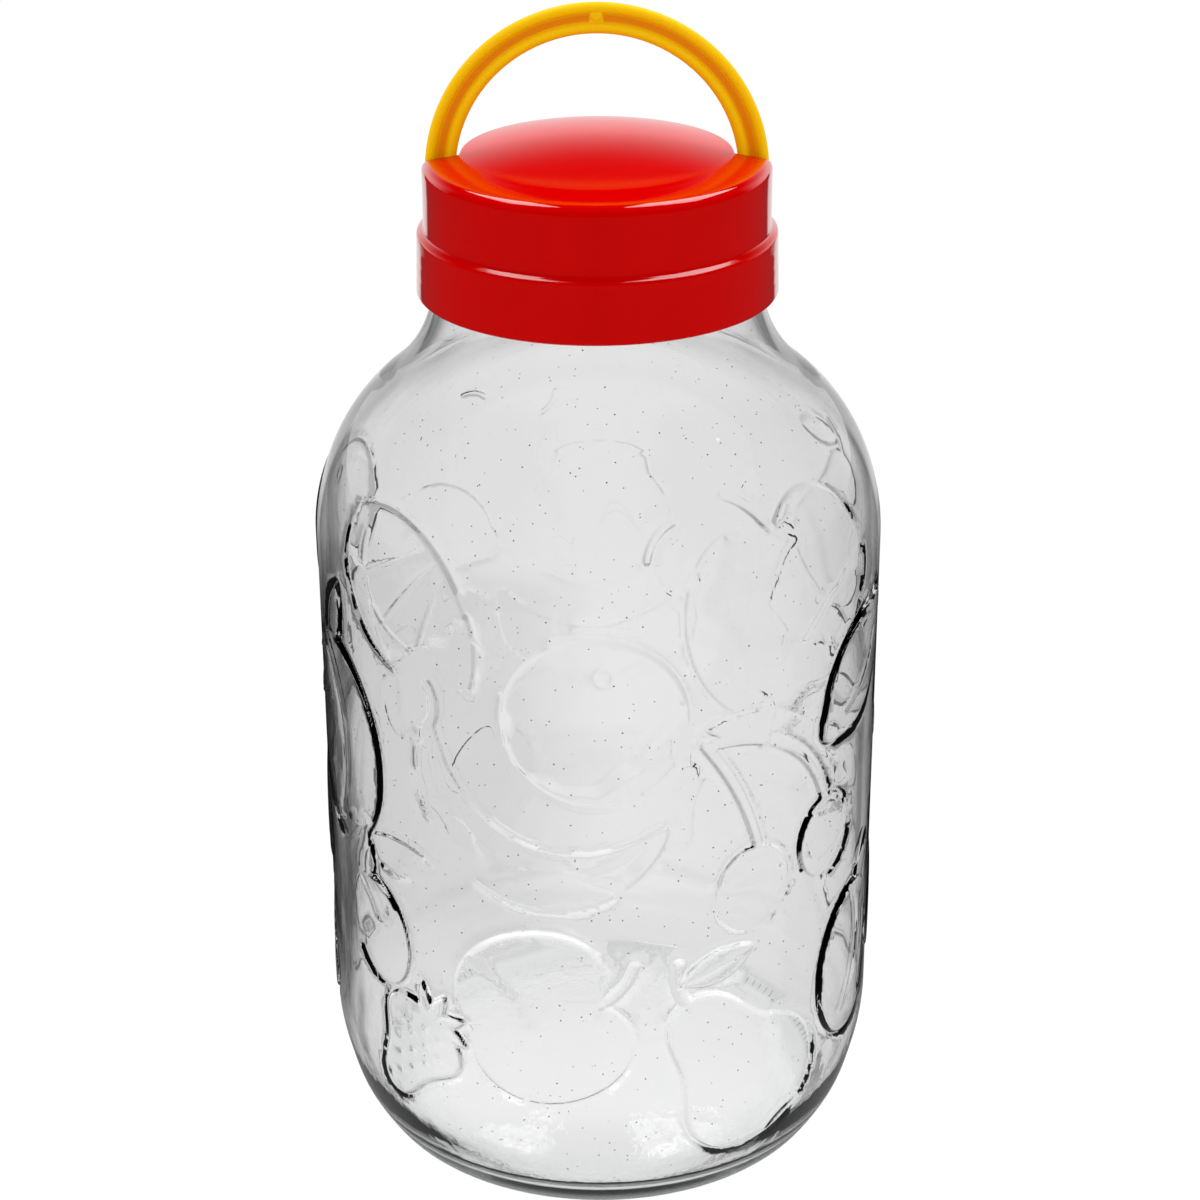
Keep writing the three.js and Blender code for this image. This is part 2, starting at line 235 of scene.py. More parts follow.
class Sock:
    """An output socket with arithmetic: an expression on sockets adds its Math nodes."""

    def __init__(self, shader: "Shader", out: bpy.types.NodeSocket) -> None:
        """Wraps a socket of a shader."""
        self.shader = shader
        self.out = out

    def math(self, operation: str, *others: "Sock | float", flip: bool = False) -> "Sock":
        """Adds one Math node.

        Args:
            operation: the node's operation.
            others: its other operands.
            flip: puts this socket second.

        Returns:
            The result.
        """
        terms = [self, *others]
        if flip:
            terms.reverse()
        node = self.shader.node("ShaderNodeMath", {"operation": operation}, dict(enumerate(terms)))
        return Sock(self.shader, node.outputs[0])

    def __add__(self, other: "Sock | float") -> "Sock":
        """Sum."""
        return self.math("ADD", other)

    def __sub__(self, other: "Sock | float") -> "Sock":
        """Difference."""
        return self.math("SUBTRACT", other)

    def __rsub__(self, other: float) -> "Sock":
        """Difference from a number."""
        return self.math("SUBTRACT", other, flip=True)

    def __mul__(self, other: "Sock | float") -> "Sock":
        """Product."""
        return self.math("MULTIPLY", other)

    def __pow__(self, other: float) -> "Sock":
        """Power."""
        return self.math("POWER", other)

    __radd__ = __add__
    __rmul__ = __mul__

    def sine(self) -> "Sock":
        """Sine."""
        return self.math("SINE")

    def ramp(self, low: float, high: float, start: float = 0.0, end: float = 1.0) -> "Sock":
        """Maps a range smoothly to another.

        Args:
            low: value that gives start.
            high: value that gives end.
            start: result at low and below.
            end: result at high and above.

        Returns:
            The mapped value.
        """
        node = self.shader.node(
            "ShaderNodeMapRange",
            {"interpolation_type": "SMOOTHSTEP"},
            {"Value": self, "From Min": low, "From Max": high, "To Min": start, "To Max": end},
        )
        return Sock(self.shader, node.outputs["Result"])

    def within(self, low: float, high: float, ease: float) -> "Sock":
        """One between two values and nought beyond them, with soft edges."""
        return self.ramp(low - ease, low + ease) * self.ramp(high - ease, high + ease, 1.0, 0.0)


class Shader:
    """A node tree in the making."""

    def __init__(self, tree: bpy.types.NodeTree, output: str) -> None:
        """Empties a tree and gives it its output node.

        Args:
            tree: the node tree.
            output: type of its output node.
        """
        self.tree = tree
        tree.nodes.clear()
        self.output = self.node(output)

    def node(
        self, kind: str, settings: dict[str, object] | None = None,
        inputs: dict[object, object] | None = None,
    ) -> bpy.types.Node:
        """Adds a node.

        Args:
            kind: its type.
            settings: its own properties, set before its sockets.
            inputs: values or links by the name or number of the socket.

        Returns:
            The node.
        """
        made = self.tree.nodes.new(kind)
        for name, value in (settings or {}).items():
            setattr(made, name, value)
        for name, value in (inputs or {}).items():
            socket = made.inputs[name]
            if isinstance(value, Sock):
                self.tree.links.new(value.out, socket)
            elif isinstance(value, bpy.types.NodeSocket):
                self.tree.links.new(value, socket)
            else:
                socket.default_value = value
        return made

    def place(self) -> bpy.types.NodeSocket:
        """The Object coordinates, in metres."""
        return self.node("ShaderNodeTexCoord").outputs["Object"]

    def axes(self, vector: bpy.types.NodeSocket) -> tuple[Sock, Sock, Sock]:
        """The three parts of a vector."""
        parts = self.node("ShaderNodeSeparateXYZ", None, {0: vector})
        return tuple(Sock(self, out) for out in parts.outputs)

    def speckle(self, scale: float, detail: float = 2.0, rough: float = 0.5) -> Sock:
        """Noise over the Object coordinates, with its scale in features a metre."""
        inputs = {"Vector": self.place(), "Scale": scale, "Detail": detail, "Roughness": rough}
        return Sock(self, self.node("ShaderNodeTexNoise", None, inputs).outputs["Fac"])

    def cells(self, scale: float) -> Sock:
        """Distance to the nearest of many scattered points, with their number in a metre."""
        inputs = {"Vector": self.place(), "Scale": scale}
        return Sock(self, self.node("ShaderNodeTexVoronoi", None, inputs).outputs["Distance"])

    def mix(self, share: Sock, first: Colour, second: Colour) -> bpy.types.NodeSocket:
        """Mixes two colours by a share of the second."""
        inputs = {0: share, 6: first, 7: second}
        return self.node("ShaderNodeMix", {"data_type": "RGBA"}, inputs).outputs[2]

    def blend(
        self, share: Sock | bpy.types.NodeSocket, first: bpy.types.Node, second: bpy.types.Node
    ) -> bpy.types.Node:
        """Mixes two surfaces by a share of the second."""
        inputs = {0: share, 1: first.outputs[0], 2: second.outputs[0]}
        return self.node("ShaderNodeMixShader", None, inputs)

    def bump(self, height: Sock, distance: float) -> bpy.types.NodeSocket:
        """A normal from a height between 0 and 1 that stands for a real distance in metres."""
        return self.node("ShaderNodeBump", None, {"Height": height, "Distance": distance}).outputs[0]

    def close(self, surface: bpy.types.NodeSocket, volume: bpy.types.NodeSocket | None = None) -> None:
        """Links the finished shader to the output.

        Args:
            surface: the surface shader.
            volume: what fills the solid.
        """
        self.tree.links.new(surface, self.output.inputs["Surface"])
        if volume:
            self.tree.links.new(volume, self.output.inputs["Volume"])


def apart(first: Sock, second: Sock) -> Sock:
    """Distance from the origin of two coordinates."""
    return (first * first + second * second) ** 0.5


def new_material(name: str) -> tuple[bpy.types.Material, Shader]:
    """An empty node material.

    Args:
        name: its name.

    Returns:
        The material and its tree.
    """
    material = bpy.data.materials.new(name)
    material.use_nodes = True
    return material, Shader(material.node_tree, "ShaderNodeOutputMaterial")


# Finishes


@dataclass(frozen=True)
class ClearGlass:
    """Pressed and blown soda-lime glass: faintly grey, uneven, with painted shade where the wall is seen
    edge on.
    """

    index: float = 1.5
    heel_rough: float = 0.3  # the mould left the corner of the heel matt
    heel_top: tuple[float, float] = (0.0035, 0.0075)
    heel_side: tuple[float, float] = (0.05, 0.066)
    frost: Colour = (0.8, 0.81, 0.81, 1.0)
    frost_share: float = 0.2
    grey: Colour = (0.46, 0.475, 0.475, 1.0)
    density: float = 15.0  # absorption a metre
    # The settings from here to side_reach paint shade on the glass: a dark see-through sheet mixed in
    # where the wall is seen edge on, in place of the darkness that reflection and refraction give there.
    edge_shade_from: float = 0.59  # facing at which the wall starts to look dark
    edge_shade_to: float = 0.83
    edge: Colour = (0.05, 0.052, 0.052, 1.0)
    edge_shade_share: float = 0.84
    side_shift: float = 0.1  # the edge is narrower on the right
    side_reach: float = 0.06
    streaks: float = 0.5  # how much the dark edge wanders
    streak_scale: tuple[float, float, float] = (70.0, 70.0, 15.0)
    body_low: tuple[float, float] = (0.012, 0.07)  # the dark edge belongs to the straight body
    body_high: tuple[float, float] = (0.17, 0.225)
    away: float = 0.12  # what is left of it at the heel and the shoulder
    sway: float = 22.0  # uneven places a metre
    sway_height: float = 0.0003
    knurl_count: int = 150
    knurl_from: float = 0.0012
    knurl_to: float = 0.0042
    knurl_radius: float = 0.069
    knurl_ease: float = 0.0004
    knurl_edge: float = 0.001
    knurl_gap: tuple[float, float] = (-0.2, 0.5)  # part of the wave between two teeth
    knurl_height: float = 0.0001
    ripple: float = 130.0  # the pressed heel is wavier
    ripple_height: float = 0.0001
    ripple_span: tuple[float, float] = (0.02, 0.05)
    seed_scale: float = 210.0  # tiny bubbles a metre
    seed_radius: float = 0.07
    seed_core: float = 0.6
    seed: Colour = (0.03, 0.03, 0.03, 1.0)
    shade: Colour = (0.93, 0.94, 0.94, 1)  # what the shadow of the glass lets through

    def material(self) -> bpy.types.Material:
        """Builds the node material.

        Returns:
            The material.
        """
        material, shader = new_material("clear_glass_wall")
        x, y, z = shader.axes(shader.place())
        radius = apart(x, y)
        dashes = (y.math("ARCTAN2", x) * self.knurl_count).sine().ramp(*self.knurl_gap)
        knurl = dashes * z.within(self.knurl_from, self.knurl_to, self.knurl_ease)
        knurl = knurl * radius.ramp(self.knurl_radius, self.knurl_radius + self.knurl_edge)
        sway = shader.speckle(self.sway, 1.0)
        ripple = shader.speckle(self.ripple, 3.0) * z.ramp(*self.ripple_span, 1.0, 0.0)
        height = sway * (self.sway_height / self.knurl_height) + knurl
        height = height + ripple * (self.ripple_height / self.knurl_height)
        normal = shader.bump(height, self.knurl_height)
        bubbles = shader.cells(self.seed_scale)
        clean = bubbles.ramp(self.seed_radius * self.seed_core, self.seed_radius)
        matt = z.ramp(*self.heel_top, 1.0, 0.0) * radius.ramp(*self.heel_side)
        body = shader.node("ShaderNodeBsdfPrincipled", None, {
            "Base Color": shader.mix(clean, self.seed, WHITE),
            "Roughness": matt * self.heel_rough,
            "IOR": self.index,
            "Transmission Weight": 1.0,
            "Normal": normal,
        })
        # Painted shade: a dark see-through sheet mixed into the wall where it is seen edge on.
        dark = shader.node("ShaderNodeBsdfTransparent", None, {"Color": self.edge})
        wall = shader.blend(self.edge_shade_mask(shader, x, z, normal), body, dark)
        frost = shader.node("ShaderNodeBsdfDiffuse", None, {"Color": self.frost})
        skin = shader.blend(matt * self.frost_share, wall, frost)
        clear = shader.node("ShaderNodeBsdfTransparent", None, {"Color": self.shade})
        surface = shader.blend(shader.node("ShaderNodeLightPath").outputs["Is Shadow Ray"], skin, clear)
        inputs = {"Color": self.grey, "Density": self.density}
        tint = shader.node("ShaderNodeVolumeAbsorption", None, inputs)
        shader.close(surface.outputs[0], tint.outputs[0])
        return material

    def edge_shade_mask(
        self, shader: Shader, side: Sock, height: Sock, normal: bpy.types.NodeSocket
    ) -> Sock:
        """Share of the painted shade at the edge.

        Args:
            shader: the tree.
            side: distance to the right of the middle, in metres.
            height: height above the floor, in metres.
            normal: the uneven surface's normal.

        Returns:
            The share, with streaks along the jar.
        """
        place_in = {"Vector": shader.place(), "Scale": self.streak_scale}
        stretch = shader.node("ShaderNodeMapping", None, place_in)
        noise_in = {"Vector": stretch.outputs[0], "Scale": 1.0, "Detail": 4.0, "Roughness": 0.65}
        streak = Sock(shader, shader.node("ShaderNodeTexNoise", None, noise_in).outputs["Fac"])
        weight = shader.node("ShaderNodeLayerWeight", None, {"Blend": 0.5, "Normal": normal})
        facing = Sock(shader, weight.outputs["Facing"]) + (streak - 0.5) * self.streaks
        facing = facing - side.ramp(0.0, self.side_reach, 0.0, self.side_shift)
        there = height.ramp(*self.body_low, self.away)
        there = there * height.ramp(*self.body_high, 1.0, self.away)
        return facing.ramp(self.edge_shade_from, self.edge_shade_to) * there * self.edge_shade_share


@dataclass(frozen=True)
class GlossPlastic:
    """Glossy injection-moulded plastic in one colour."""

    name: str
    colour: Colour
    deep: Colour
    roughness: float
    coat: float
    gloss: float = 0.5  # specular level
    flow_scale: float = 55.0  # flow marks a metre
    peel_scale: float = 420.0  # the fine unevenness of the skin
    peel_height: float = 0.000005
    flow_rough: float = 0.05  # how much the flow marks and the dull places add to the roughness
    dull_rough: float = 0.1
    coat_rough: float = 0.03

    def start(self) -> tuple[bpy.types.Material, Shader, Sock, Sock]:
        """Begins the material.

        Returns:
            The material, its tree, the flow marks and the unevenness of the skin.
        """
        material, shader = new_material(self.name)
        flow, peel = shader.speckle(self.flow_scale, 3.0), shader.speckle(self.peel_scale, 1.0)
        return material, shader, flow, peel

    def end(
        self, shader: Shader, colour: bpy.types.NodeSocket, flow: Sock, height: Sock, depth: float,
        dull: Sock | float = 0.0, bare: Sock | float = 0.0,
    ) -> None:
        """Closes the material with its shader.

        Args:
            shader: the tree.
            colour: what the skin shows.
            flow: the flow marks, which also change the gloss.
            height: the relief of the skin, 0 to 1.
            depth: what 1 stands for, in metres.
            dull: where the skin is less smooth, 0 to 1.
            bare: where it has no second gloss, 0 to 1.
        """
        start = self.roughness - self.flow_rough / 2
        body = shader.node("ShaderNodeBsdfPrincipled", None, {
            "Base Color": colour,
            "Roughness": flow * self.flow_rough + start + dull * self.dull_rough,
            "Coat Weight": (1 - bare) * self.coat,
            "Specular IOR Level": self.gloss,
            "Coat Roughness": self.coat_rough,
            "Normal": shader.bump(height, depth),
        })
        shader.close(body.outputs[0])


@dataclass(frozen=True)
class RedPlastic(GlossPlastic):
    """The cap's plastic, with the fine upright lines that the mould left at the step."""

    lines: int = 400
    lines_from: float = 0.2882
    lines_to: float = 0.2922
    lines_ease: float = 0.0008
    line_height: float = 0.00002
    line_share: float = 0.5  # of that height on each side of the middle
    crown: tuple[float, float] = (0.037, 0.039)  # the crown is duller than the shelf round it
    shelf: tuple[float, float] = (0.046, 0.0485)

    def material(self) -> bpy.types.Material:
        """Builds the node material.

        Returns:
            The material.
        """
        material, shader, flow, peel = self.start()
        x, y, z = shader.axes(shader.place())
        upright = (y.math("ARCTAN2", x) * self.lines).sine()
        upright = upright * z.within(self.lines_from, self.lines_to, self.lines_ease)
        height = upright * self.line_share + peel * (self.peel_height / self.line_height)
        radius = apart(x, y)
        crown, shelf = radius.ramp(*self.crown, 1.0, 0.0), radius.ramp(*self.shelf, 1.0, 0.0)
        skin = shader.mix(flow, self.colour, self.deep)
        self.end(shader, skin, flow, height, self.line_height, crown, shelf)
        return material


@dataclass(frozen=True)
class YellowPlastic(GlossPlastic):
    """The handle's plastic: bright on the round rails, with painted shade in deep orange on the recessed
    web between them.
    """

    web_shade_from: float = 0.0441
    web_shade_to: float = 0.0463
    web_shade_ease: float = 0.0006
    web_shade_start: tuple[float, float] = (0.002, 0.005)  # above the feet
    gate: float = 0.0018
    gate_edge: float = 1.2
    # Painted shade: this deeper orange stands in for the shade in the recessed web between the rails.
    web: Colour = (0.88, 0.26, 0.0, 1.0)

    def material(self) -> bpy.types.Material:
        """Builds the node material.

        Returns:
            The material.
        """
        material, shader, flow, peel = self.start()
        x, _, z = shader.axes(shader.place())
        up = z - PIVOT * MM
        # Painted shade: the recessed web, above the feet and away from the gate mark, gets the deeper
        # orange.
        thin = apart(x, up).within(self.web_shade_from, self.web_shade_to, self.web_shade_ease) * up.ramp(*self.web_shade_start)
        thin = thin * (x * x).ramp(self.gate**2, (self.gate * self.gate_edge) ** 2)
        skin = shader.mix(flow, self.colour, self.deep)
        self.end(shader, shader.mix(thin, skin, self.web), flow, peel, self.peel_height)
        return material


@dataclass(frozen=True)
class WhiteFoam:
    """Soft foamed sheet with fine closed cells."""

    colour: Colour = (0.86, 0.86, 0.83, 1.0)
    # Painted shade: the pores, the dents at the middles of the cells, are darker.
    pore_shade: Colour = (0.7, 0.7, 0.67, 1.0)
    cell_scale: float = 1600.0
    cell_edge: tuple[float, float] = (0.1, 0.5)
    cell_height: float = 0.00008
    roughness: float = 0.72
    cell_rough: float = 0.1  # added between the cells

    def material(self) -> bpy.types.Material:
        """Builds the node material.

        Returns:
            The material.
        """
        material, shader = new_material("white_foam_sheet")
        cells = shader.cells(self.cell_scale)
        body = shader.node("ShaderNodeBsdfPrincipled", None, {
            # Painted shade: darker in the dents at the middles of the cells.
            "Base Color": shader.mix(cells.ramp(*self.cell_edge), self.pore_shade, self.colour),
            "Roughness": cells * self.cell_rough + self.roughness,
            "Normal": shader.bump(cells, self.cell_height),
        })
        shader.close(body.outputs[0])
        return material


# Fruit in relief


class Pen:
    """Draws raised shapes on the unrolled wall of the jar, as heights at given points."""

    swell_reach = 0.22  # share of a shape's size over which it swells towards its middle
    moat_depth = 0.85  # the line round a shape: its depth, its distance and its half width in mm
    moat_place = 1.0
    moat_width = 0.75
    line_place = 0.3  # how far outside the outline the finest mesh is centred, in mm
    raised = 0.05  # height from which a crease shows

    def __init__(self, across: np.ndarray, up: np.ndarray, size: float, edge: float) -> None:
        """Starts a drawing.

        Args:
            across: place of each point across the shape, in its own unit.
            up: place of each point up the shape, in the same unit.
            size: what the unit measures, in mm.
            edge: width of the slope at an outline, in mm.
        """
        self.x, self.y, self.size, self.edge = across, up, size, edge
        self.height = np.zeros_like(across)
        self.moat = np.zeros_like(across)
        self.nearest = np.full_like(across, FAR_OFF)

    def relief(self) -> np.ndarray:
        """The finished heights: 0 on the bare wall, 1 on a crest, below 0 in the line round a shape."""
        return self.height - self.moat * np.clip(1 - 3 * self.height, 0, 1)

    def turned(self, cx: float, cy: float, turn: float) -> tuple[np.ndarray, np.ndarray]:
        """The points as seen from a place, with the axes turned by some degrees."""
        c, s = math.cos(math.radians(turn)), math.sin(math.radians(turn))
        return (self.x - cx) * c + (self.y - cy) * s, (self.y - cy) * c - (self.x - cx) * s

    def oval(self, cx: float, cy: float, rx: float, ry: float, turn: float = 0) -> np.ndarray:
        """Distance to an ellipse, about right near its edge.

        Args:
            cx: its middle across.
            cy: its middle up.
            rx: half its width.
            ry: half its height.
            turn: its turn in degrees.

        Returns:
            The distances, negative inside.
        """
        x, y = self.turned(cx, cy, turn)
        first = np.hypot(x / rx, y / ry) + 1e-9
        return first * (first - 1) / (np.hypot(x / rx**2, y / ry**2) + 1e-9)

    def leaf(self, cx: float, cy: float, length: float, width: float, turn: float) -> np.ndarray:
        """Distance to a leaf with two pointed ends.

        Args:
            cx: its middle across.
            cy: its middle up.
            length: half its length.
            width: half its width.
            turn: its turn in degrees.

        Returns:
            The distances, negative inside.
        """
        x, y = self.turned(cx, cy, turn)
        radius = (length**2 + width**2) / (2 * width)
        return np.hypot(x, np.abs(y) + radius - width) - radius

    def curve(self, cx: float, cy: float, radius: float, start: float, end: float) -> np.ndarray:
        """Distance to a thin arc.

        Args:
            cx: its centre across.
            cy: its centre up.
            radius: its radius.
            start: first angle, in degrees from the right.
            end: last angle.

        Returns:
            The distances.
        """
        x, y = self.x - cx, self.y - cy
        middle, half = (start + end) / 2, abs(end - start) / 2
        turn = np.abs((np.degrees(np.arctan2(y, x)) - middle + 180) % 360 - 180)
        ends = [
            np.hypot(x - radius * math.cos(math.radians(a)), y - radius * math.sin(math.radians(a)))
            for a in (start, end)
        ]
        return np.where(turn <= half, np.abs(np.hypot(x, y) - radius), np.minimum(*ends))

    def melt(self, first: np.ndarray, second: np.ndarray, reach: float) -> np.ndarray:
        """Joins two shapes with a soft transition."""
        share = np.clip(0.5 + 0.5 * (second - first) / reach, 0, 1)
        return second + (first - second) * share - reach * share * (1 - share)

    def lift(self, distance: np.ndarray, height: float = 1.0, dome: float = 0.35) -> None:
        """Raises a shape.

        Args:
            distance: distance to its outline, negative inside.
            height: how high its middle stands, 1 for the whole relief.
            dome: share of the height that swells towards the middle.
        """
        depth = -distance * self.size
        step = np.clip(depth / self.edge + 0.5, 0, 1)
        step = step * step * (3 - 2 * step)
        swell = 1 - np.exp(-np.clip(depth, 0, None) / (self.swell_reach * self.size))
        self.height = np.maximum(self.height, step * height * (1 - dome + dome * swell))
        moat = self.moat_depth * np.exp(-(((depth + self.moat_place) / self.moat_width) ** 2))
        self.moat = np.maximum(self.moat, moat)
        self.nearest = np.minimum(self.nearest, np.abs(depth + self.line_place))

    def crease(self, distance: np.ndarray, depth: float = 0.35, width: float = 0.6) -> None:
        """Presses a line into what is raised so far.

        Args:
            distance: distance to the line.
            depth: how deep it goes, 1 for the whole relief.
            width: half width of the line, in mm.
        """
        away = distance * self.size
        dent = depth * np.exp(-((away / width) ** 2)) * np.clip(self.height * 2, 0, 1)
        self.height = np.where(self.height > self.raised, self.height - dent, self.height)
        self.nearest = np.minimum(self.nearest, np.abs(away))

    def stalk(self, *bow: float, half: float = 0.045, height: float = 0.8) -> None:
        """Raises a flat stalk along an arc that is given as for a curve."""
        self.lift(self.curve(*bow) - half, height, 0)

    def foliage(self, *blade: float) -> None:
        """Raises a leaf that is given as for its distance."""
        self.lift(self.leaf(*blade), 0.8, 0.3)


def draw_apple(pen: Pen) -> None:
    """An apple with its stalk.

    Args:
        pen: draws it.
    """
    left, right = pen.oval(-0.36, -0.08, 0.64, 0.86, 7), pen.oval(0.36, -0.08, 0.64, 0.86, -7)
    pen.lift(pen.melt(left, right, 0.1))
    pen.crease(pen.curve(0, 1.05, 0.42, 232, 308))
    pen.stalk(-0.75, 0.45, 0.77, 12, 54, half=0.035)


def draw_pear(pen: Pen) -> None:
    """A pear with a stalk and a leaf.

    Args:
        pen: draws it.
    """
    pen.lift(pen.melt(pen.oval(0, -0.32, 0.76, 0.68), pen.oval(0.02, 0.52, 0.4, 0.5), 0.4))
    pen.crease(pen.curve(0, -1.3, 0.42, 62, 118))
    pen.stalk(0.55, 1.0, 0.5, 130, 185)
    pen.foliage(0.5, 1.08, 0.4, 0.16, -18)
    pen.crease(pen.leaf(0.5, 1.08, 0.3, 0.004, -18), 0.3)


def draw_plum(pen: Pen) -> None:
    """A plum with its seam.

    Args:
        pen: draws it.
    """
    pen.lift(pen.oval(0, 0, 0.74, 0.98))
    pen.crease(pen.curve(-1.15, 0.1, 1.3, -38, 42))
    pen.foliage(0.2, 1.12, 0.4, 0.15, 60)


def draw_cherries(pen: Pen) -> None:
    """Two cherries on joined stalks under a leaf.

    Args:
        pen: draws it.
    """
    pen.lift(pen.oval(-0.5, -0.62, 0.42, 0.44))
    pen.lift(pen.oval(0.5, -0.42, 0.42, 0.44))
    pen.crease(pen.curve(-0.5, -0.1, 0.2, 215, 325), 0.25)
    pen.crease(pen.curve(0.5, 0.1, 0.2, 215, 325), 0.25)
    pen.stalk(-3.75, -1.05, 3.4, 14, 38, height=0.75)
    pen.stalk(-0.89, -0.37, 1.41, 9, 96, height=0.75)
    pen.foliage(-0.55, 1.14, 0.5, 0.14, -6)


def draw_orange(pen: Pen) -> None:
    """An orange with the mark of its stalk.

    Args:
        pen: draws it.
    """
    pen.lift(pen.oval(0, 0, 1, 0.94))
    pen.crease(pen.curve(0.1, 0.55, 0.1, 0, 359.9), 0.3)
    pen.crease(pen.curve(-0.2, -0.3, 0.95, 100, 160), 0.2)


def draw_lemon(pen: Pen) -> None:
    """A lemon with a blossom end.

    Args:
        pen: draws it.
    """
    body = pen.melt(pen.oval(0, 0, 0.92, 0.62), pen.oval(0.95, 0, 0.16, 0.14), 0.3)
    pen.lift(pen.melt(body, pen.oval(-0.95, 0, 0.14, 0.16), 0.25))
    pen.crease(pen.curve(0, 1.2, 1.4, 245, 295), 0.25)
    pen.crease(pen.curve(0.25, -0.1, 0.5, 20, 75), 0.2)


def draw_banana(pen: Pen) -> None:
    """A banana with the edge along its skin.

    Args:
        pen: draws it.
    """
    x, y = pen.x, pen.y - 1.0
    turn = np.clip(np.abs((np.degrees(np.arctan2(y, x)) + 90 + 180) % 360 - 180) / 76, 0, 1)
    pen.lift(pen.curve(0, 1.0, 1.2, -164, -16) - 0.05 - 0.25 * np.clip(1 - turn**2.2, 0, 1))
    pen.crease(pen.curve(0, 1.0, 1.14, -156, -26), 0.3)
    pen.stalk(-1.45, 0.75, 0.3, -20, 60, half=0.05)


def draw_strawberry(pen: Pen) -> None:
    """A strawberry with its seeds and its crown of leaves.

    Args:
        pen: draws it.
    """
    body = pen.melt(pen.oval(0, 0.3, 0.7, 0.46), pen.oval(0, -0.42, 0.34, 0.52), 0.5)
    pen.lift(body)
    up, aside = 0.24, 0.26  # distances between two seeds
    row = np.round(pen.y / up)
    shift = np.where(row % 2 == 0, 0.0, aside / 2)
    across = pen.x - shift - np.round((pen.x - shift) / aside) * aside
    pits = np.hypot(across, pen.y - row * up)
    pen.crease(np.where(body < -0.12, pits, 9.0), 0.4, 0.8)
    for turn in (-40, 0, 40, 90):
        tilt = math.radians(90 - turn)
        tip = (0.3 * math.cos(tilt), 0.72 + 0.12 * math.sin(tilt))
        pen.lift(pen.leaf(*tip, 0.3, 0.1, 90 - turn), 1, 0.2)


def draw_grapes(pen: Pen) -> None:
    """A bunch of grapes under a leaf.

    Args:
        pen: draws it.
    """
    for row, count in enumerate((4, 3, 2, 1)):
        for i in range(count):
            berry = pen.oval((i - (count - 1) / 2) * 0.44, 0.42 - row * 0.4, 0.225, 0.225)
            pen.lift(berry, 1, 0.6)
    pen.stalk(0.3, 0.7, 0.34, 100, 180)
    pen.foliage(0.38, 0.98, 0.46, 0.2, 14)


def draw_wedge(pen: Pen) -> None:
    """A wedge of citrus with its rind and segments.

    Args:
        pen: draws it.
    """
    pen.lift(pen.leaf(0, 0, 1.05, 0.66, 0))
    pen.crease(pen.curve(0, 0.55, 0.9, 215, 325), 0.3)
    for x, turn in ((-0.34, 70), (0.02, 92), (0.36, 112)):
        pen.crease(pen.leaf(x, 0.1, 0.24, 0.006, turn), 0.45, 0.7)


def draw_sprig(pen: Pen) -> None:
    """A short curved stalk by itself."""
    pen.stalk(0.9, -0.5, 1.4, 108, 168, half=0.08)


def draw_leaf(pen: Pen) -> None:
    """A leaf with its middle vein."""
    pen.foliage(0, 0, 1.0, 0.3, 0)
    pen.crease(pen.leaf(0, 0, 0.85, 0.004, 0), 0.3)


class Fruit(Enum):
    """The fruits on the wall, each with the function that draws it."""

    APPLE = (draw_apple,)
    PEAR = (draw_pear,)
    PLUM = (draw_plum,)
    CHERRIES = (draw_cherries,)
    ORANGE = (draw_orange,)
    LEMON = (draw_lemon,)
    BANANA = (draw_banana,)
    STRAWBERRY = (draw_strawberry,)
    GRAPES = (draw_grapes,)
    WEDGE = (draw_wedge,)
    SPRIG = (draw_sprig,)
    LEAF = (draw_leaf,)

    def draw(self, pen: Pen) -> None:
        """Draws the fruit with a pen."""
        self.value[0](pen)


@dataclass(frozen=True)
class Motif:
    """One fruit in its place: degrees round from the front, height and size in mm, turn in degrees."""

    fruit: Fruit
    around: float
    height: float
    size: float
    turn: float = 0.0


ORCHARD = (
    Motif(Fruit.WEDGE, -42, 202, 31, -42),
    Motif(Fruit.APPLE, 40, 203, 35, 13),
    Motif(Fruit.ORANGE, -1, 173, 27),
    Motif(Fruit.BANANA, -17, 131, 33, -22),
    Motif(Fruit.SPRIG, 12.5, 223, 10),
    Motif(Fruit.LEAF, -45.5, 117, 17, 2),
    Motif(Fruit.CHERRIES, 42, 132, 30),
    Motif(Fruit.APPLE, -11, 75, 29, -71),
    Motif(Fruit.PEAR, 29, 52, 32, 36),
    Motif(Fruit.PLUM, -66, 145, 33, 12),
    Motif(Fruit.PLUM, -52, 88, 18, 20),
    Motif(Fruit.STRAWBERRY, -42, 52, 23, -30),
    Motif(Fruit.PLUM, 64, 69, 26, -8),
    Motif(Fruit.LEMON, 64, 168, 24, 38),
    Motif(Fruit.GRAPES, 104, 120, 30),
    Motif(Fruit.APPLE, 100, 70, 25, -10),
    Motif(Fruit.PEAR, 114, 184, 27, 10),
    Motif(Fruit.CHERRIES, 145, 146, 23),
    Motif(Fruit.LEMON, 138, 94, 25, 20),
    Motif(Fruit.ORANGE, 180, 166, 25),
    Motif(Fruit.BANANA, 179, 121, 30, -6),
    Motif(Fruit.STRAWBERRY, 164, 60, 21, -16),
    Motif(Fruit.APPLE, -138, 122, 26, -6),
    Motif(Fruit.LEMON, -142, 172, 22, 30),
    Motif(Fruit.SPRIG, -150, 212, 7, -30),
    Motif(Fruit.SPRIG, -167, 206, 7, 70),
    Motif(Fruit.PLUM, -152, 70, 24, 24),
    Motif(Fruit.ORANGE, -104, 196, 25),
    Motif(Fruit.PEAR, -98, 108, 33, 16),
    Motif(Fruit.CHERRIES, -92, 58, 20),
)


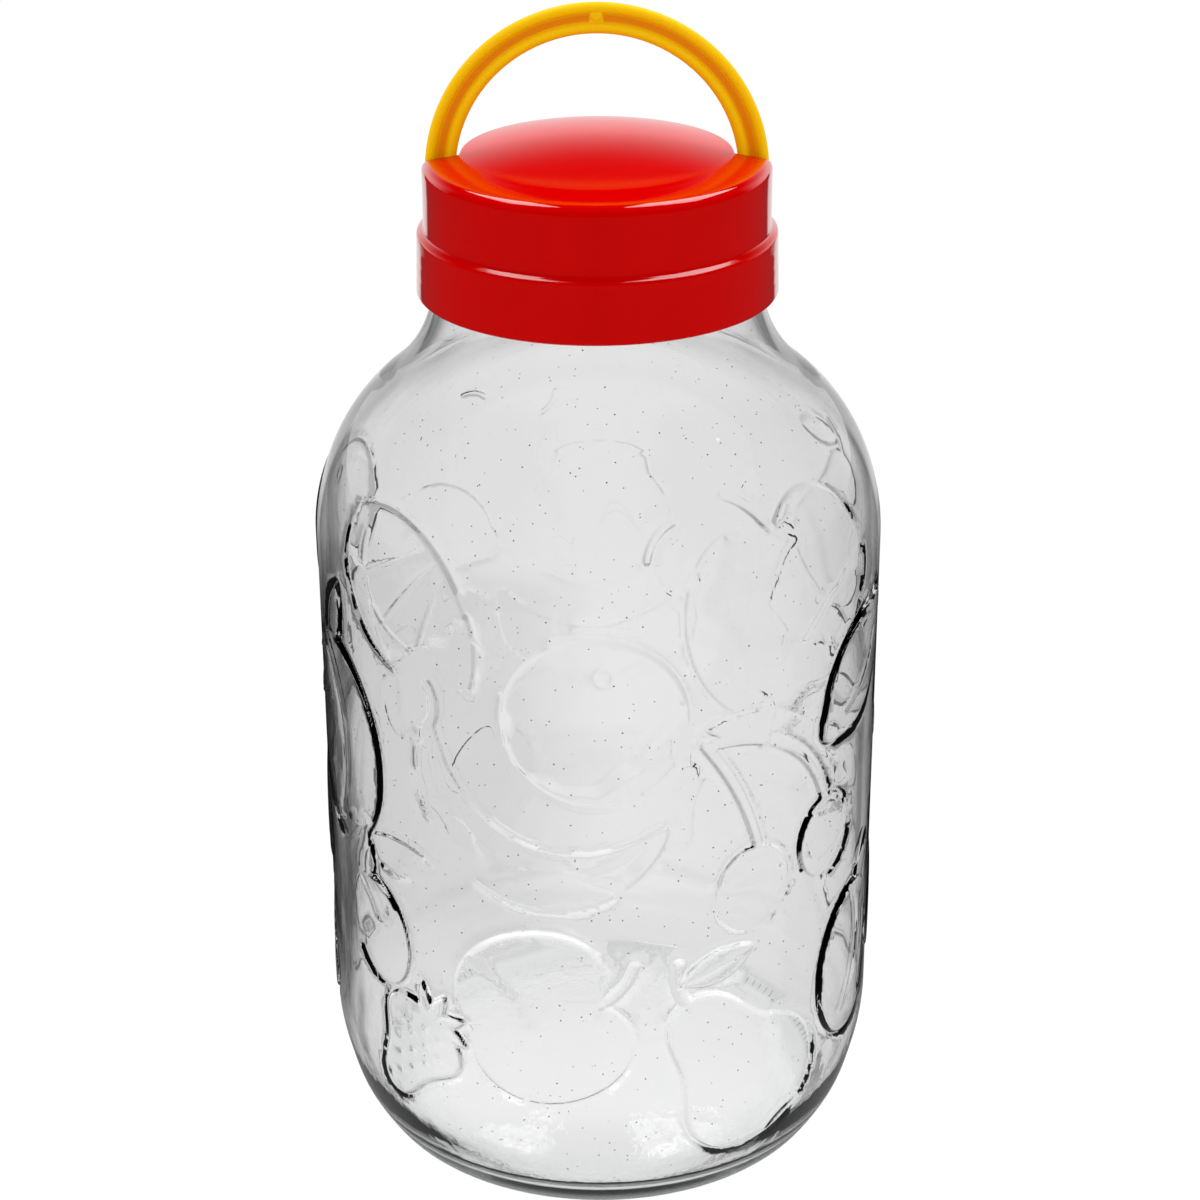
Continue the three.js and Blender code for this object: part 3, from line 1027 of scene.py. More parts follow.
@dataclass(frozen=True)
class ScrewThread:
    """The two-start thread between the glass and the cap, as a height of 0 to 1 at any place."""

    lead: float = 8.4
    pitch: float = 4.2
    depth: float = 1.75
    share: float = 0.46  # of the pitch that a ridge takes
    ease: float = 2.4  # height over which the ridge fades at its ends
    fullness: float = 1.6  # how broad its crest is

    def ridge(self, around: float, height: float, low: float, high: float, shift: float) -> float:
        """Height of the ridge.

        Args:
            around: angle in radians.
            height: height in mm.
            low: where the ridge begins.
            high: where it ends.
            shift: offset in pitches.

        Returns:
            0 on the core and 1 on the crest.
        """
        phase = (height - self.lead * around / math.tau) / self.pitch + shift
        offset = abs(phase - round(phase)) / (self.share / 2)
        crest = 0.5 + 0.5 * math.cos(math.pi * min(1.0, offset**self.fullness))
        fade = min((height - low) / self.ease, (high - height) / self.ease, 1.0)
        return crest * max(0.0, fade)


THREAD = ScrewThread()


@dataclass(frozen=True)
class Steps:
    """Longest distance between two points of a profile on each part of the jar, in mm."""

    dome: float
    corner: float
    heel: float
    wall: float
    shoulder: float
    neck: float
    lip: float = 0.4
    thread: float = 0.7


@dataclass
class GlassJar:
    """The pressed glass body: foot ring, heel, wall with fruit in relief, shoulder, neck and mouth."""

    body_radius: float = 86
    foot_ring: float = 6
    push_up: float = 6.5
    heel_corner: float = 7.5
    heel_arc: float = 70
    heel_height: float = 43.3
    straight: float = 155.3
    shoulder_arc: float = 61.6
    neck_arc: float = 40.4
    neck_radius: float = 48.1
    wall: float = 3.5
    base: float = 6.5
    inner_corner: float = 10
    inner_floor: float = 7.5
    mouth: float = 23
    mouth_inset: float = 0.9
    mouth_ease: float = 1.2
    lip_share: float = 0.38
    thread_low: float = 279.6
    thread_high: float = 291.0
    turns: int = 224  # facets round the jar
    outer_steps: Steps = Steps(dome=6, corner=1, heel=2.3, wall=2.3, shoulder=2.3, neck=2.6)
    inner_steps: Steps = Steps(dome=7, corner=1.5, heel=4, wall=9, shoulder=6, neck=5)
    relief: float = 0.78
    relief_edge: float = 1.35
    motif_reach: float = 2.0  # sizes from its middle within which a motif is drawn
    back_from: float = 110.0  # degrees from the front past which the relief is lower
    back_share: float = 0.45  # its height there
    back_reach: float = 0.5  # share of each band that it needs there
    relief_low: float = 12.0
    relief_high: float = 246.0
    relief_fade: tuple[float, float] = (14.0, 34.0)  # over which the relief sets in below and above
    bands: tuple[float, ...] = (1.9, 0.95)  # reach of each finer mesh beside an outline
    thread_reach: float = 0.5  # how far under the mouth's skin a vertex still belongs to the thread
    sharp: float = 75
    finish: ClearGlass = field(default_factory=ClearGlass)

    @property
    def shoulder_axis(self) -> float:
        """Radius of the centre of the shoulder's arc."""
        return self.body_radius - self.shoulder_arc

    @property
    def shoulder_height(self) -> float:
        """Height where the shoulder starts."""
        return self.heel_height + self.straight

    @property
    def neck_axis(self) -> float:
        """Radius of the centre of the neck's arc."""
        return self.neck_radius + self.neck_arc

    @property
    def neck_height(self) -> float:
        """Height of the centre of the neck's arc."""
        reach, side = self.shoulder_arc + self.neck_arc, self.neck_axis - self.shoulder_axis
        return self.shoulder_height + math.sqrt(reach**2 - side**2)

    @property
    def lip_height(self) -> float:
        """Height of the mouth's lip."""
        return self.neck_height + self.mouth

    @property
    def heel_axis(self) -> float:
        """Radius of the centre of the heel's arc."""
        return self.body_radius - self.heel_arc

    @property
    def neck_turn(self) -> float:
        """Direction from the neck's centre to the shoulder's, in degrees."""
        start = (self.neck_axis, self.neck_height)
        return bearing(start, (self.shoulder_axis, self.shoulder_height))

    @property
    def lip_round(self) -> float:
        """Radius of the lip's two rounds."""
        return self.lip_share * (self.wall - self.mouth_inset)

    def heel_end(self, reach: float, rounding: float, low: float) -> tuple[float, float]:
        """Where the arc of the heel turns into the corner round the base.

        Args:
            reach: radius of the arc.
            rounding: radius of the corner.
            low: height of its lowest point.

        Returns:
            Radius of the corner's centre from the axis of the jar, and the direction in which they meet.
        """
        drop = self.heel_height - low - rounding
        corner = self.heel_axis + math.sqrt((reach - rounding) ** 2 - drop**2)
        return corner, bearing((self.heel_axis, self.heel_height), (corner, low + rounding))

    def outside(self) -> Profile:
        """The outer profile.

        Returns:
            Its points, from the middle of the base to the top of the lip.
        """
        heel, (corner, start) = self.heel_axis, self.heel_end(self.heel_arc, self.heel_corner, 0)
        edge = corner - self.foot_ring
        sphere = (edge**2 + self.push_up**2) / (2 * self.push_up)
        turn = math.degrees(math.asin(edge / sphere))
        shoulder, neck = (self.shoulder_axis, self.shoulder_height), (self.neck_axis, self.neck_height)
        mouth = self.neck_radius - self.mouth_inset
        lip = (mouth - self.lip_round, self.lip_height - self.lip_round)
        steps, wall = self.outer_steps, [(self.body_radius, self.heel_height)]
        wall.append((self.body_radius, self.shoulder_height))
        made = [
            *arc((0, self.push_up - sphere), sphere, 90, 90 - turn, steps.dome),
            *arc((corner, self.heel_corner), self.heel_corner, -90, start, steps.corner),
            *arc((heel, self.heel_height), self.heel_arc, start, 0, steps.heel),
            *run(wall, steps.wall),
            *arc(shoulder, self.shoulder_arc, 0, self.neck_turn + 180, steps.shoulder),
            *arc(neck, self.neck_arc, self.neck_turn + 360, 180, steps.neck),
            *run([(mouth, self.neck_height + self.mouth_ease), (mouth, lip[1])], steps.thread),
            *arc(lip, self.lip_round, 0, 90, steps.lip),
        ]
        return [(0, made[0][1]), *made[1:]]

    def inside(self) -> Profile:
        """The inner profile.

        Returns:
            Its points, from the lip down to the middle of the base.
        """
        inner, reach = self.body_radius - self.wall, self.heel_arc - self.wall
        bore = self.neck_radius - self.wall
        corner, start = self.heel_end(reach, self.inner_corner, self.inner_floor)
        rise = self.push_up + self.base - self.inner_floor
        sphere = (corner**2 + rise**2) / (2 * rise)
        turn = math.degrees(math.asin(corner / sphere))
        lip = (bore + self.lip_round, self.lip_height - self.lip_round)
        shoulder, neck = (self.shoulder_axis, self.shoulder_height), (self.neck_axis, self.neck_height)
        steps, bend = self.inner_steps, (corner, self.inner_floor + self.inner_corner)
        made = [
            *arc(lip, self.lip_round, 90, 180, steps.lip),
            *arc(neck, self.neck_arc + self.wall, 180, self.neck_turn + 360, steps.neck),
            *arc(shoulder, self.shoulder_arc - self.wall, self.neck_turn + 180, 0, steps.shoulder),
            *run([(inner, self.shoulder_height), (inner, self.heel_height)], steps.wall),
            *arc((self.heel_axis, self.heel_height), reach, 0, start, steps.heel),
            *arc(bend, self.inner_corner, start, -90, steps.corner),
            *arc((0, self.push_up + self.base - sphere), sphere, 90 - turn, 90, steps.dome),
        ]
        return [*made[:-1], (0, made[-1][1])]

    def unroll(self, places: np.ndarray) -> tuple[np.ndarray, np.ndarray]:
        """Angle round the jar and length up the outer wall of some places.

        Args:
            places: coordinates in mm.

        Returns:
            Degrees from the front, and mm up the wall.
        """
        around = np.degrees(np.arctan2(places[:, 0], -places[:, 1]))
        above = np.clip((places[:, 2] - self.shoulder_height) / self.shoulder_arc, 0, 0.999)
        up = np.minimum(places[:, 2], self.shoulder_height) + self.shoulder_arc * np.arcsin(above)
        return around, up

    def drawing(self, places: np.ndarray) -> tuple[np.ndarray, np.ndarray]:
        """The fruit at some places of the wall.

        Args:
            places: coordinates in mm.

        Returns:
            The height of the relief, 0 to 1, and the distance to its nearest line, in mm.
        """
        around, up = self.unroll(places)
        height, nearest = np.zeros(len(places)), np.full(len(places), FAR_OFF)
        for motif in ORCHARD:
            level = self.unroll(np.array([[0.0, -self.body_radius, motif.height]]))[1][0]
            across = np.radians((around - motif.around + 180) % 360 - 180) * self.body_radius
            near = np.nonzero(np.hypot(across, up - level) < self.motif_reach * motif.size)[0]
            c, s = math.cos(math.radians(motif.turn)), math.sin(math.radians(motif.turn))
            x, y = across[near] / motif.size, (up[near] - level) / motif.size
            pen = Pen(x * c + y * s, y * c - x * s, motif.size, self.relief_edge)
            motif.fruit.draw(pen)
            made = pen.relief() * (self.back_share if abs(motif.around) > self.back_from else 1.0)
            low, high = np.minimum(height[near], made), np.maximum(height[near], made)
            height[near] = np.where(made < 0, low, high)
            nearest[near] = np.minimum(nearest[near], pen.nearest)
        return height, nearest

    def in_relief(self, places: np.ndarray) -> np.ndarray:
        """Which places lie on the part of the outer wall that carries the relief.

        Args:
            places: coordinates in mm.

        Returns:
            A yes or no for each.
        """
        radius = np.hypot(places[:, 0], places[:, 1])
        profile = [p for p in self.outside() if p[1] > self.heel_corner]
        wall = np.interp(places[:, 2], [z for _, z in profile], [r for r, _ in profile])
        level = (places[:, 2] > self.relief_low) & (places[:, 2] < self.relief_high)
        return level & (radius > wall - self.wall / 2)

    def refine(self, made: bmesh.types.BMesh) -> None:
        """Divides the facets beside the lines of the fruit.

        Args:
            made: the jar's mesh.
        """
        for band in self.bands:
            faces = list(made.faces)
            centres = np.array([f.calc_center_median()[:] for f in faces]) / MM
            chosen = np.nonzero(self.in_relief(centres))[0]
            nearest = self.drawing(centres[chosen])[1]
            behind = np.abs(self.unroll(centres[chosen])[0]) > self.back_from
            reach = np.where(behind, band * self.back_reach, band)
            edges = {e for i in chosen[nearest < reach] for e in faces[i].edges}
            bmesh.ops.subdivide_edges(made, edges=list(edges), cuts=1, use_grid_fill=True)

    def emboss(self, made: bmesh.types.BMesh) -> None:
        """Raises the fruit, with the bare wall just inside the outline of the CAD model.

        Args:
            made: the jar's mesh.
        """
        verts = list(made.verts)
        places = np.array([v.co[:] for v in verts]) / MM
        chosen = np.nonzero(self.in_relief(places))[0]
        spots = places[chosen]
        height = self.drawing(spots)[0]
        above, below = spots[:, 2] - self.relief_low, self.relief_high - spots[:, 2]
        ease = np.clip(np.minimum(above / self.relief_fade[0], below / self.relief_fade[1]), 0, 1)
        inset = self.relief * ease * ease * (3 - 2 * ease) * (1 - height)
        for i, place, drop in zip(chosen, spots, inset):
            around, z = math.atan2(place[1], place[0]), place[2]
            if z > self.shoulder_height:
                centre, reach = (self.shoulder_axis, self.shoulder_height), self.shoulder_arc
            elif z < self.heel_height:
                centre, reach = (self.heel_axis, self.heel_height), self.heel_arc
            else:
                centre, reach = (0.0, z), self.body_radius
            slope = math.atan2(z - centre[1], math.hypot(place[0], place[1]) - centre[0])
            radius = centre[0] + (reach - drop) * math.cos(slope)
            height_now = centre[1] + (reach - drop) * math.sin(slope)
            verts[i].co = Vector((radius * math.cos(around), radius * math.sin(around), height_now)) * MM

    def cut_thread(self, made: bmesh.types.BMesh) -> None:
        """Raises the thread on the mouth.

        Args:
            made: the jar's mesh.
        """
        mouth = self.neck_radius - self.mouth_inset
        for vert in made.verts:
            x, y, z = vert.co / MM
            radius = math.hypot(x, y)
            if self.thread_low < z < self.thread_high and radius > mouth - self.thread_reach:
                ridge = THREAD.ridge(math.atan2(y, x), z, self.thread_low, self.thread_high, 0.0)
                vert.co.xy *= (radius + THREAD.depth * ridge) / radius

    def build(self) -> bpy.types.Object:
        """Builds, dresses and places the jar.

        Returns:
            Its object.
        """
        made = lathe([*self.outside(), *self.inside()], self.turns)
        self.refine(made)
        self.emboss(made)
        self.cut_thread(made)
        piece = finish_piece("glass_jar_embossed", made, self.sharp)
        piece.data.materials.append(self.finish.material())
        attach(piece, "jar")
        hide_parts("glass_jar")
        return piece


@dataclass
class ScrewCap:
    """The red cap: skirt with the inner thread, step, wall, raised front half, ledge and crown."""

    bottom: float = 273.742
    skirt_height: float = 18.5
    upper_radius: float = 50.5
    skirt_step: float = 2
    flare: float = 0.5
    wall: float = 2
    edge_round: float = 0.6
    step_round: float = 1.0
    step_fillet: float = 1.0
    step_turn: float = 60
    step_drop: float = 0.3
    ceiling: float = 303.342
    top_wall: float = 2.2
    ledge_round: float = 1.4
    front_rise: float = 7.1
    rim_round: float = 3
    shelf_slope: float = 10
    disc_radius: float = 39.6
    disc_round: float = 1
    crown_rise: float = 5.2
    front_face: float = -2.2
    rib: tuple[float, float] = (44.5, 47.3)
    end_wall: float = 1.8
    pin_hole: float = 1.7
    end_ease: float = 0.35
    end_segments: int = 3
    rim_slack: float = 0.05  # an edge this little below the shelf still lies on its rim
    rim_low: float = 0.3  # above the ledge
    thread_low: float = 276.2
    thread_high: float = 289.8
    thread_shift: float = 0.5  # in pitches, so that its ridges run between those of the glass
    sink_depth: float = 0.03
    turns: int = 192
    edge_cell: float = 0.3  # distance between two points of its profile on each part
    fillet_cell: float = 0.25
    rim_cell: float = 0.5
    skirt_cell: float = 0.7
    thread_cell: float = 0.65
    shelf_cell: float = 2
    crown_cell: float = 2.2
    finish: RedPlastic = field(default_factory=lambda: RedPlastic(
        "glossy_red_plastic", (0.66, 0.0, 0.0, 1.0), (0.6, 0.0, 0.0, 1.0), 0.05, 0.8))

    @property
    def skirt_top(self) -> float:
        """Height of the step."""
        return self.bottom + self.skirt_height

    @property
    def skirt_radius(self) -> float:
        """Outer radius at the skirt's lower edge."""
        return self.upper_radius + self.skirt_step + self.flare

    @property
    def ledge(self) -> float:
        """Height of the ledge that the folded handle lies on."""
        return self.ceiling + self.top_wall

    @property
    def skirt_from(self) -> float:
        """Radius past which a vertex belongs to the skirt."""
        return self.upper_radius - self.wall + 1

    @property
    def skirt_middle(self) -> float:
        """Radius between the inner and the outer skin of the skirt."""
        return self.skirt_radius - self.wall / 2 - 0.2

    def rim(self) -> Profile:
        """The round of the front rim."""
        centre = (self.upper_radius - self.rim_round, self.ledge + self.front_rise - self.rim_round)
        return arc(centre, self.rim_round, 0, 90 - self.shelf_slope, self.rim_cell)

    def shelf(self, radius: float) -> float:
        """Height of the front shelf at a radius."""
        start = self.rim()[-1]
        return start[1] + (start[0] - radius) * math.tan(math.radians(self.shelf_slope))

    def crown(self, inset: float, edge: float) -> Profile:
        """The crown's arc, or one parallel below it.

        Args:
            inset: how far below the skin it lies.
            edge: radius where it starts.

        Returns:
            Its points, up to the axis.
        """
        reach = self.disc_radius - self.disc_round
        sphere = (reach**2 + self.crown_rise**2) / (2 * self.crown_rise)
        top = self.shelf(reach) + self.crown_rise
        turn = math.degrees(math.asin(edge / (sphere - inset)))
        made = arc((0, top - sphere), sphere - inset, 90 - turn, 90, self.crown_cell)
        return [*made[:-1], (0, made[-1][1])]

    def round_off(self, radius: float, top: float, round_: float, end: float) -> Profile:
        """A rounded outer edge."""
        return arc((radius - round_, top - round_), round_, 0, end, self.edge_cell)

    def outside(self, front: bool) -> Profile:
        """The outer profile.

        Args:
            front: the raised front half, instead of the back with its ledge.

        Returns:
            Its points, from the skirt's lower edge to the middle of the crown.
        """
        low = (self.skirt_radius - self.edge_round, self.bottom + self.edge_round)
        fillet = (self.upper_radius + self.step_fillet, self.skirt_top + self.step_fillet)
        lower_edge = arc(low, self.edge_round, -90, 0, self.edge_cell)
        shoulder = self.skirt_top - self.step_drop
        step = self.round_off(self.skirt_radius - self.flare, shoulder, self.step_round, self.step_turn)
        edge = self.disc_radius - self.disc_round
        slope = math.degrees(math.asin(edge / ((edge**2 + self.crown_rise**2) / (2 * self.crown_rise))))
        made = [
            *lower_edge[:-1],
            *run([lower_edge[-1], step[0]], self.skirt_cell),
            *step[1:],
            *arc(fillet, self.step_fillet, 180 + self.step_turn, 180, self.fillet_cell),
        ]
        if front:
            rim = self.rim()
            made += [(self.upper_radius, self.ledge - self.ledge_round), *rim]
            made += run([rim[-1], (edge, self.shelf(edge))], self.shelf_cell)
        else:
            made += self.round_off(self.upper_radius, self.ledge, self.ledge_round, 90)
            made.append((self.disc_radius, self.ledge))
            made += self.round_off(self.disc_radius, self.shelf(edge), self.disc_round, 90 - slope)
        return [*made, *self.crown(0, edge)]

    def inside(self) -> Profile:
        """The inner profile.

        Returns:
            Its points, from the middle of the crown to the skirt's lower edge.
        """
        inner, disc = self.upper_radius - self.wall, self.disc_radius - self.wall
        recess = self.skirt_top - self.wall
        thread = [(inner + self.skirt_step, recess), (self.skirt_radius - self.wall, self.bottom)]
        ceiling = [(r, self.ceiling) for r in (disc, self.disc_radius, *self.rib, inner)]
        crown = reversed(self.crown(self.top_wall, disc))
        return [*crown, *ceiling, (inner, recess), *run(thread, self.thread_cell)]

    def half(self, front: bool) -> bmesh.types.BMesh:
        """One half of the cap, spun whole and cut at the front face.

        Args:
            front: the raised front half.

        Returns:
            The mesh, open at the cut.
        """
        made = lathe([*self.inside(), *self.outside(front)], self.turns)
        bmesh.ops.bisect_plane(
            made, geom=[*made.verts, *made.edges, *made.faces], plane_co=(0, self.front_face * MM, 0),
            plane_no=(0, 1, 0), clear_outer=front, clear_inner=not front, dist=1e-4 * MM,
        )
        return made

    def core(self, made: bmesh.types.BMesh) -> None:
        """Cores the front shelf from below, on both sides of the rib that presses on the liner.

        Args:
            made: the cap's mesh.
        """
        limit = self.front_face - self.end_wall
        for low, high in ((self.disc_radius, self.rib[0]), (self.rib[1], self.upper_radius - self.wall)):
            faces = []
            for face in made.faces:
                centre = face.calc_center_median() / MM
                level = abs(centre.z - self.ceiling) < 1e-3
                there = level and low < math.hypot(centre.x, centre.y) < high
                if there and max(v.co.y for v in face.verts) < limit * MM:
                    faces.append(face)
            raised = bmesh.ops.extrude_face_region(made, geom=faces)["geom"]
            verts = [v for v in raised if isinstance(v, bmesh.types.BMVert)]
            bmesh.ops.delete(made, geom=faces, context="FACES")
            for vert in verts:
                radius = math.hypot(vert.co.x, vert.co.y) / MM
                vert.co.z = (self.shelf(radius) - self.top_wall) * MM

    def thread(self, made: bmesh.types.BMesh) -> None:
        """Raises the thread inside the skirt, and its faint sink marks outside.

        Args:
            made: the cap's mesh.
        """
        for vert in made.verts:
            x, y, z = vert.co / MM
            radius, around = math.hypot(x, y), math.atan2(y, x)
            if not self.thread_low < z < self.thread_high or radius < self.skirt_from:
                continue
            ridge = THREAD.ridge(around, z, self.thread_low, self.thread_high, self.thread_shift)
            inner = radius < self.skirt_middle
            vert.co.xy *= (radius - (THREAD.depth if inner else self.sink_depth) * ridge) / radius

    def build(self) -> bpy.types.Object:
        """Builds, dresses and places the cap.

        Returns:
            Its object.
        """
        made = bmesh.new()
        for front in (False, True):
            part = self.half(front)
            mesh = bpy.data.meshes.new("cap_half")
            part.to_mesh(mesh)
            part.free()
            made.from_mesh(mesh)
            bpy.data.meshes.remove(mesh)
        bmesh.ops.remove_doubles(made, verts=made.verts, dist=2e-3 * MM)
        open_edges = [e for e in made.edges if len(e.link_faces) == 1]
        ends = bmesh.ops.holes_fill(made, edges=open_edges, sides=0)["faces"]
        bmesh.ops.recalc_face_normals(made, faces=made.faces)
        rims = [e for f in ends for e in f.edges if self.is_rim(e)]
        bevel(made, rims, self.end_ease, self.end_segments)
        self.core(made)
        self.thread(made)
        bmesh.ops.recalc_face_normals(made, faces=made.faces)
        piece = finish_piece("screw_cap_moulding", made)
        inner = self.disc_radius - self.wall
        for side in SIDES:
            start, end = (Vector((side * r, 0, PIVOT)) for r in (inner - 1, self.disc_radius + 1))
            carve(piece, rod(self.pin_hole, start, end, PIN_FACETS), "DIFFERENCE")
        dress(piece, self.finish.material(), SHARP)
        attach(piece, "cap")
        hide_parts("screw_cap")
        return piece

    def is_rim(self, edge: bmesh.types.BMEdge) -> bool:
        """Whether an edge of an end face lies on the raised front's outline.

        Args:
            edge: the edge.

        Returns:
            True on the outline.
        """
        middle = (edge.verts[0].co + edge.verts[1].co) / 2 / MM
        radius = abs(middle.x)
        on_shelf = middle.z > self.shelf(radius) - self.rim_slack
        top = on_shelf or radius >= self.upper_radius - self.rim_round
        outer = middle.z > self.ledge + self.rim_low
        return outer and top and radius > self.disc_radius


@dataclass
class SealingLiner:
    """The soft disc that the lip presses into, with a slight groove where it has sat on the glass."""

    bottom: float = 301.242
    thickness: float = 1.8
    radius: float = 48.1
    ease: float = 0.5
    groove_middle: float = 45.9
    groove_half: float = 1.2
    groove_depth: float = 0.12
    groove_points: int = 9
    edge_cell: float = 0.2  # distance between two points of its rounded edge
    flat: float = 22  # radius of a ring of points on its two faces
    turns: int = 160
    finish: WhiteFoam = field(default_factory=WhiteFoam)

    def build(self) -> bpy.types.Object:
        """Builds, dresses and places the liner.

        Returns:
            Its object.
        """
        top, edge = self.bottom + self.thickness, self.radius - self.ease
        groove = [
            (self.groove_middle + self.groove_half * math.cos(a),
             self.bottom + self.groove_depth * math.sin(a))
            for a in np.linspace(math.pi, 0, self.groove_points)
        ]
        profile = [
            (0, self.bottom), (self.flat, self.bottom), *groove,
            *arc((edge, self.bottom + self.ease), self.ease, -90, 0, self.edge_cell),
            *arc((edge, top - self.ease), self.ease, 0, 90, self.edge_cell),
            (self.flat, top), (0, top),
        ]
        piece = finish_piece("sealing_liner_disc", lathe(profile, self.turns))
        piece.data.materials.append(self.finish.material())
        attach(piece, "liner")
        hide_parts("sealing_liner")
        return piece


@dataclass
class CarryingHandle:
    """The yellow bow of I-section with its rounded feet, stub pins and gate mark."""

    radius: float = 49.6
    width: float = 8.9
    depth: float = 3.6
    rail: float = 3.2
    web: float = 1.4
    foot: float = 3.4
    pin_radius: float = 1.45
    pin_end: float = 36.9
    gate_radius: float = 1.7
    gate_inset: float = 0.35
    gate_back: float = 0.1
    small_ease: tuple[float, float] = (0.2, 0.25)  # bevels of the gate mark and of the pins
    steps: int = 120
    foot_square: float = 0.3  # height over which the foot turns from round to square
    rail_points: int = 25
    foot_facets: int = 48
    foot_length: float = 8
    sharp: float = 32
    finish: YellowPlastic = field(default_factory=lambda: YellowPlastic(
        "satin_yellow_plastic", (1.0, 0.6, 0.0, 1.0), (1.0, 0.55, 0.0, 1.0), 0.3, 0.0, 0.09,
        peel_height=0.000002))

    @property
    def inner(self) -> float:
        """Inner radius of the bow."""
        return self.radius - self.width

    def section(self) -> Profile:
        """The outline of the bow's section.

        Returns:
            Radius and depth of each point.
        """
        open_ = math.degrees(math.asin(self.web / self.depth))
        points: Profile = []
        for centre, start, end in (
            (self.radius - self.rail / 2, open_ - 180, 180 - open_),
            (self.inner + self.rail / 2, open_, 360 - open_),
        ):
            for a in np.radians(np.linspace(start, end, self.rail_points)):
                points.append((centre + self.rail / 2 * math.cos(a), self.depth / 2 * math.sin(a)))
        return points

    def bow(self) -> bmesh.types.BMesh:
        """The half ring.

        Returns:
            The closed mesh.
        """
        made = bmesh.new()
        ring = [made.verts.new((r * MM, y * MM, PIVOT * MM)) for r, y in self.section()]
        start = made.faces.new(ring)
        bmesh.ops.spin(
            made, geom=[start], cent=(0, 0, PIVOT * MM), axis=(0, -1, 0), angle=math.pi,
            steps=self.steps,
        )
        bmesh.ops.remove_doubles(made, verts=made.verts, dist=1e-4 * MM)
        bmesh.ops.recalc_face_normals(made, faces=made.faces)
        return made

    def leg(self, side: int) -> bmesh.types.BMesh:
        """The filled end of one leg, square above and rounded about the pin below.

        Args:
            side: -1 on the left and 1 on the right.

        Returns:
            The closed mesh.
        """
        outer = math.sqrt(self.radius**2 - self.foot**2)
        middle = side * (self.inner + outer) / 2
        ends = (Vector((middle + end * self.foot_length / 2, 0, 0)) for end in SIDES)
        made = rod(self.depth / 2, *ends, self.foot_facets)
        bmesh.ops.scale(
            made, vec=((outer - self.inner) / self.foot_length, 1, 1), verts=made.verts,
            space=Matrix.Translation((-middle * MM, 0, 0)),
        )
        upper = [v for v in made.verts if v.co.z > SLIGHT]
        for vert in upper:
            vert.co.z = self.foot * MM * min(1.0, vert.co.z / (self.foot_square * MM))
            vert.co.y = math.copysign(self.depth / 2 * MM, vert.co.y) if abs(vert.co.y) > SLIGHT else 0
        bmesh.ops.dissolve_degenerate(made, dist=MERGE, edges=made.edges)
        bmesh.ops.translate(made, vec=(0, 0, PIVOT * MM), verts=made.verts)
        bmesh.ops.recalc_face_normals(made, faces=made.faces)
        return made

    def build(self) -> bpy.types.Object:
        """Builds, dresses and places the handle.

        Returns:
            Its object.
        """
        piece = finish_piece("carrying_handle_bow", self.bow())
        gate_ease, pin_ease = self.small_ease
        for side in SIDES:
            carve(piece, self.leg(side), "UNION")
            start = Vector((side * self.pin_end, 0, PIVOT))
            end = Vector((side * (self.inner + self.rail / 2), 0, PIVOT))
            carve(piece, rod(self.pin_radius, start, end, PIN_FACETS, pin_ease), "UNION")
        height = self.radius - self.rail + PIVOT
        ends = (self.gate_inset - self.depth / 2, -self.gate_back)
        face, back = (Vector((0, y, height)) for y in ends)
        carve(piece, rod(self.gate_radius, face, back, PIN_FACETS, gate_ease), "UNION")
        dress(piece, self.finish.material(), self.sharp)
        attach(piece, "handle")
        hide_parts("carrying_handle")
        return piece


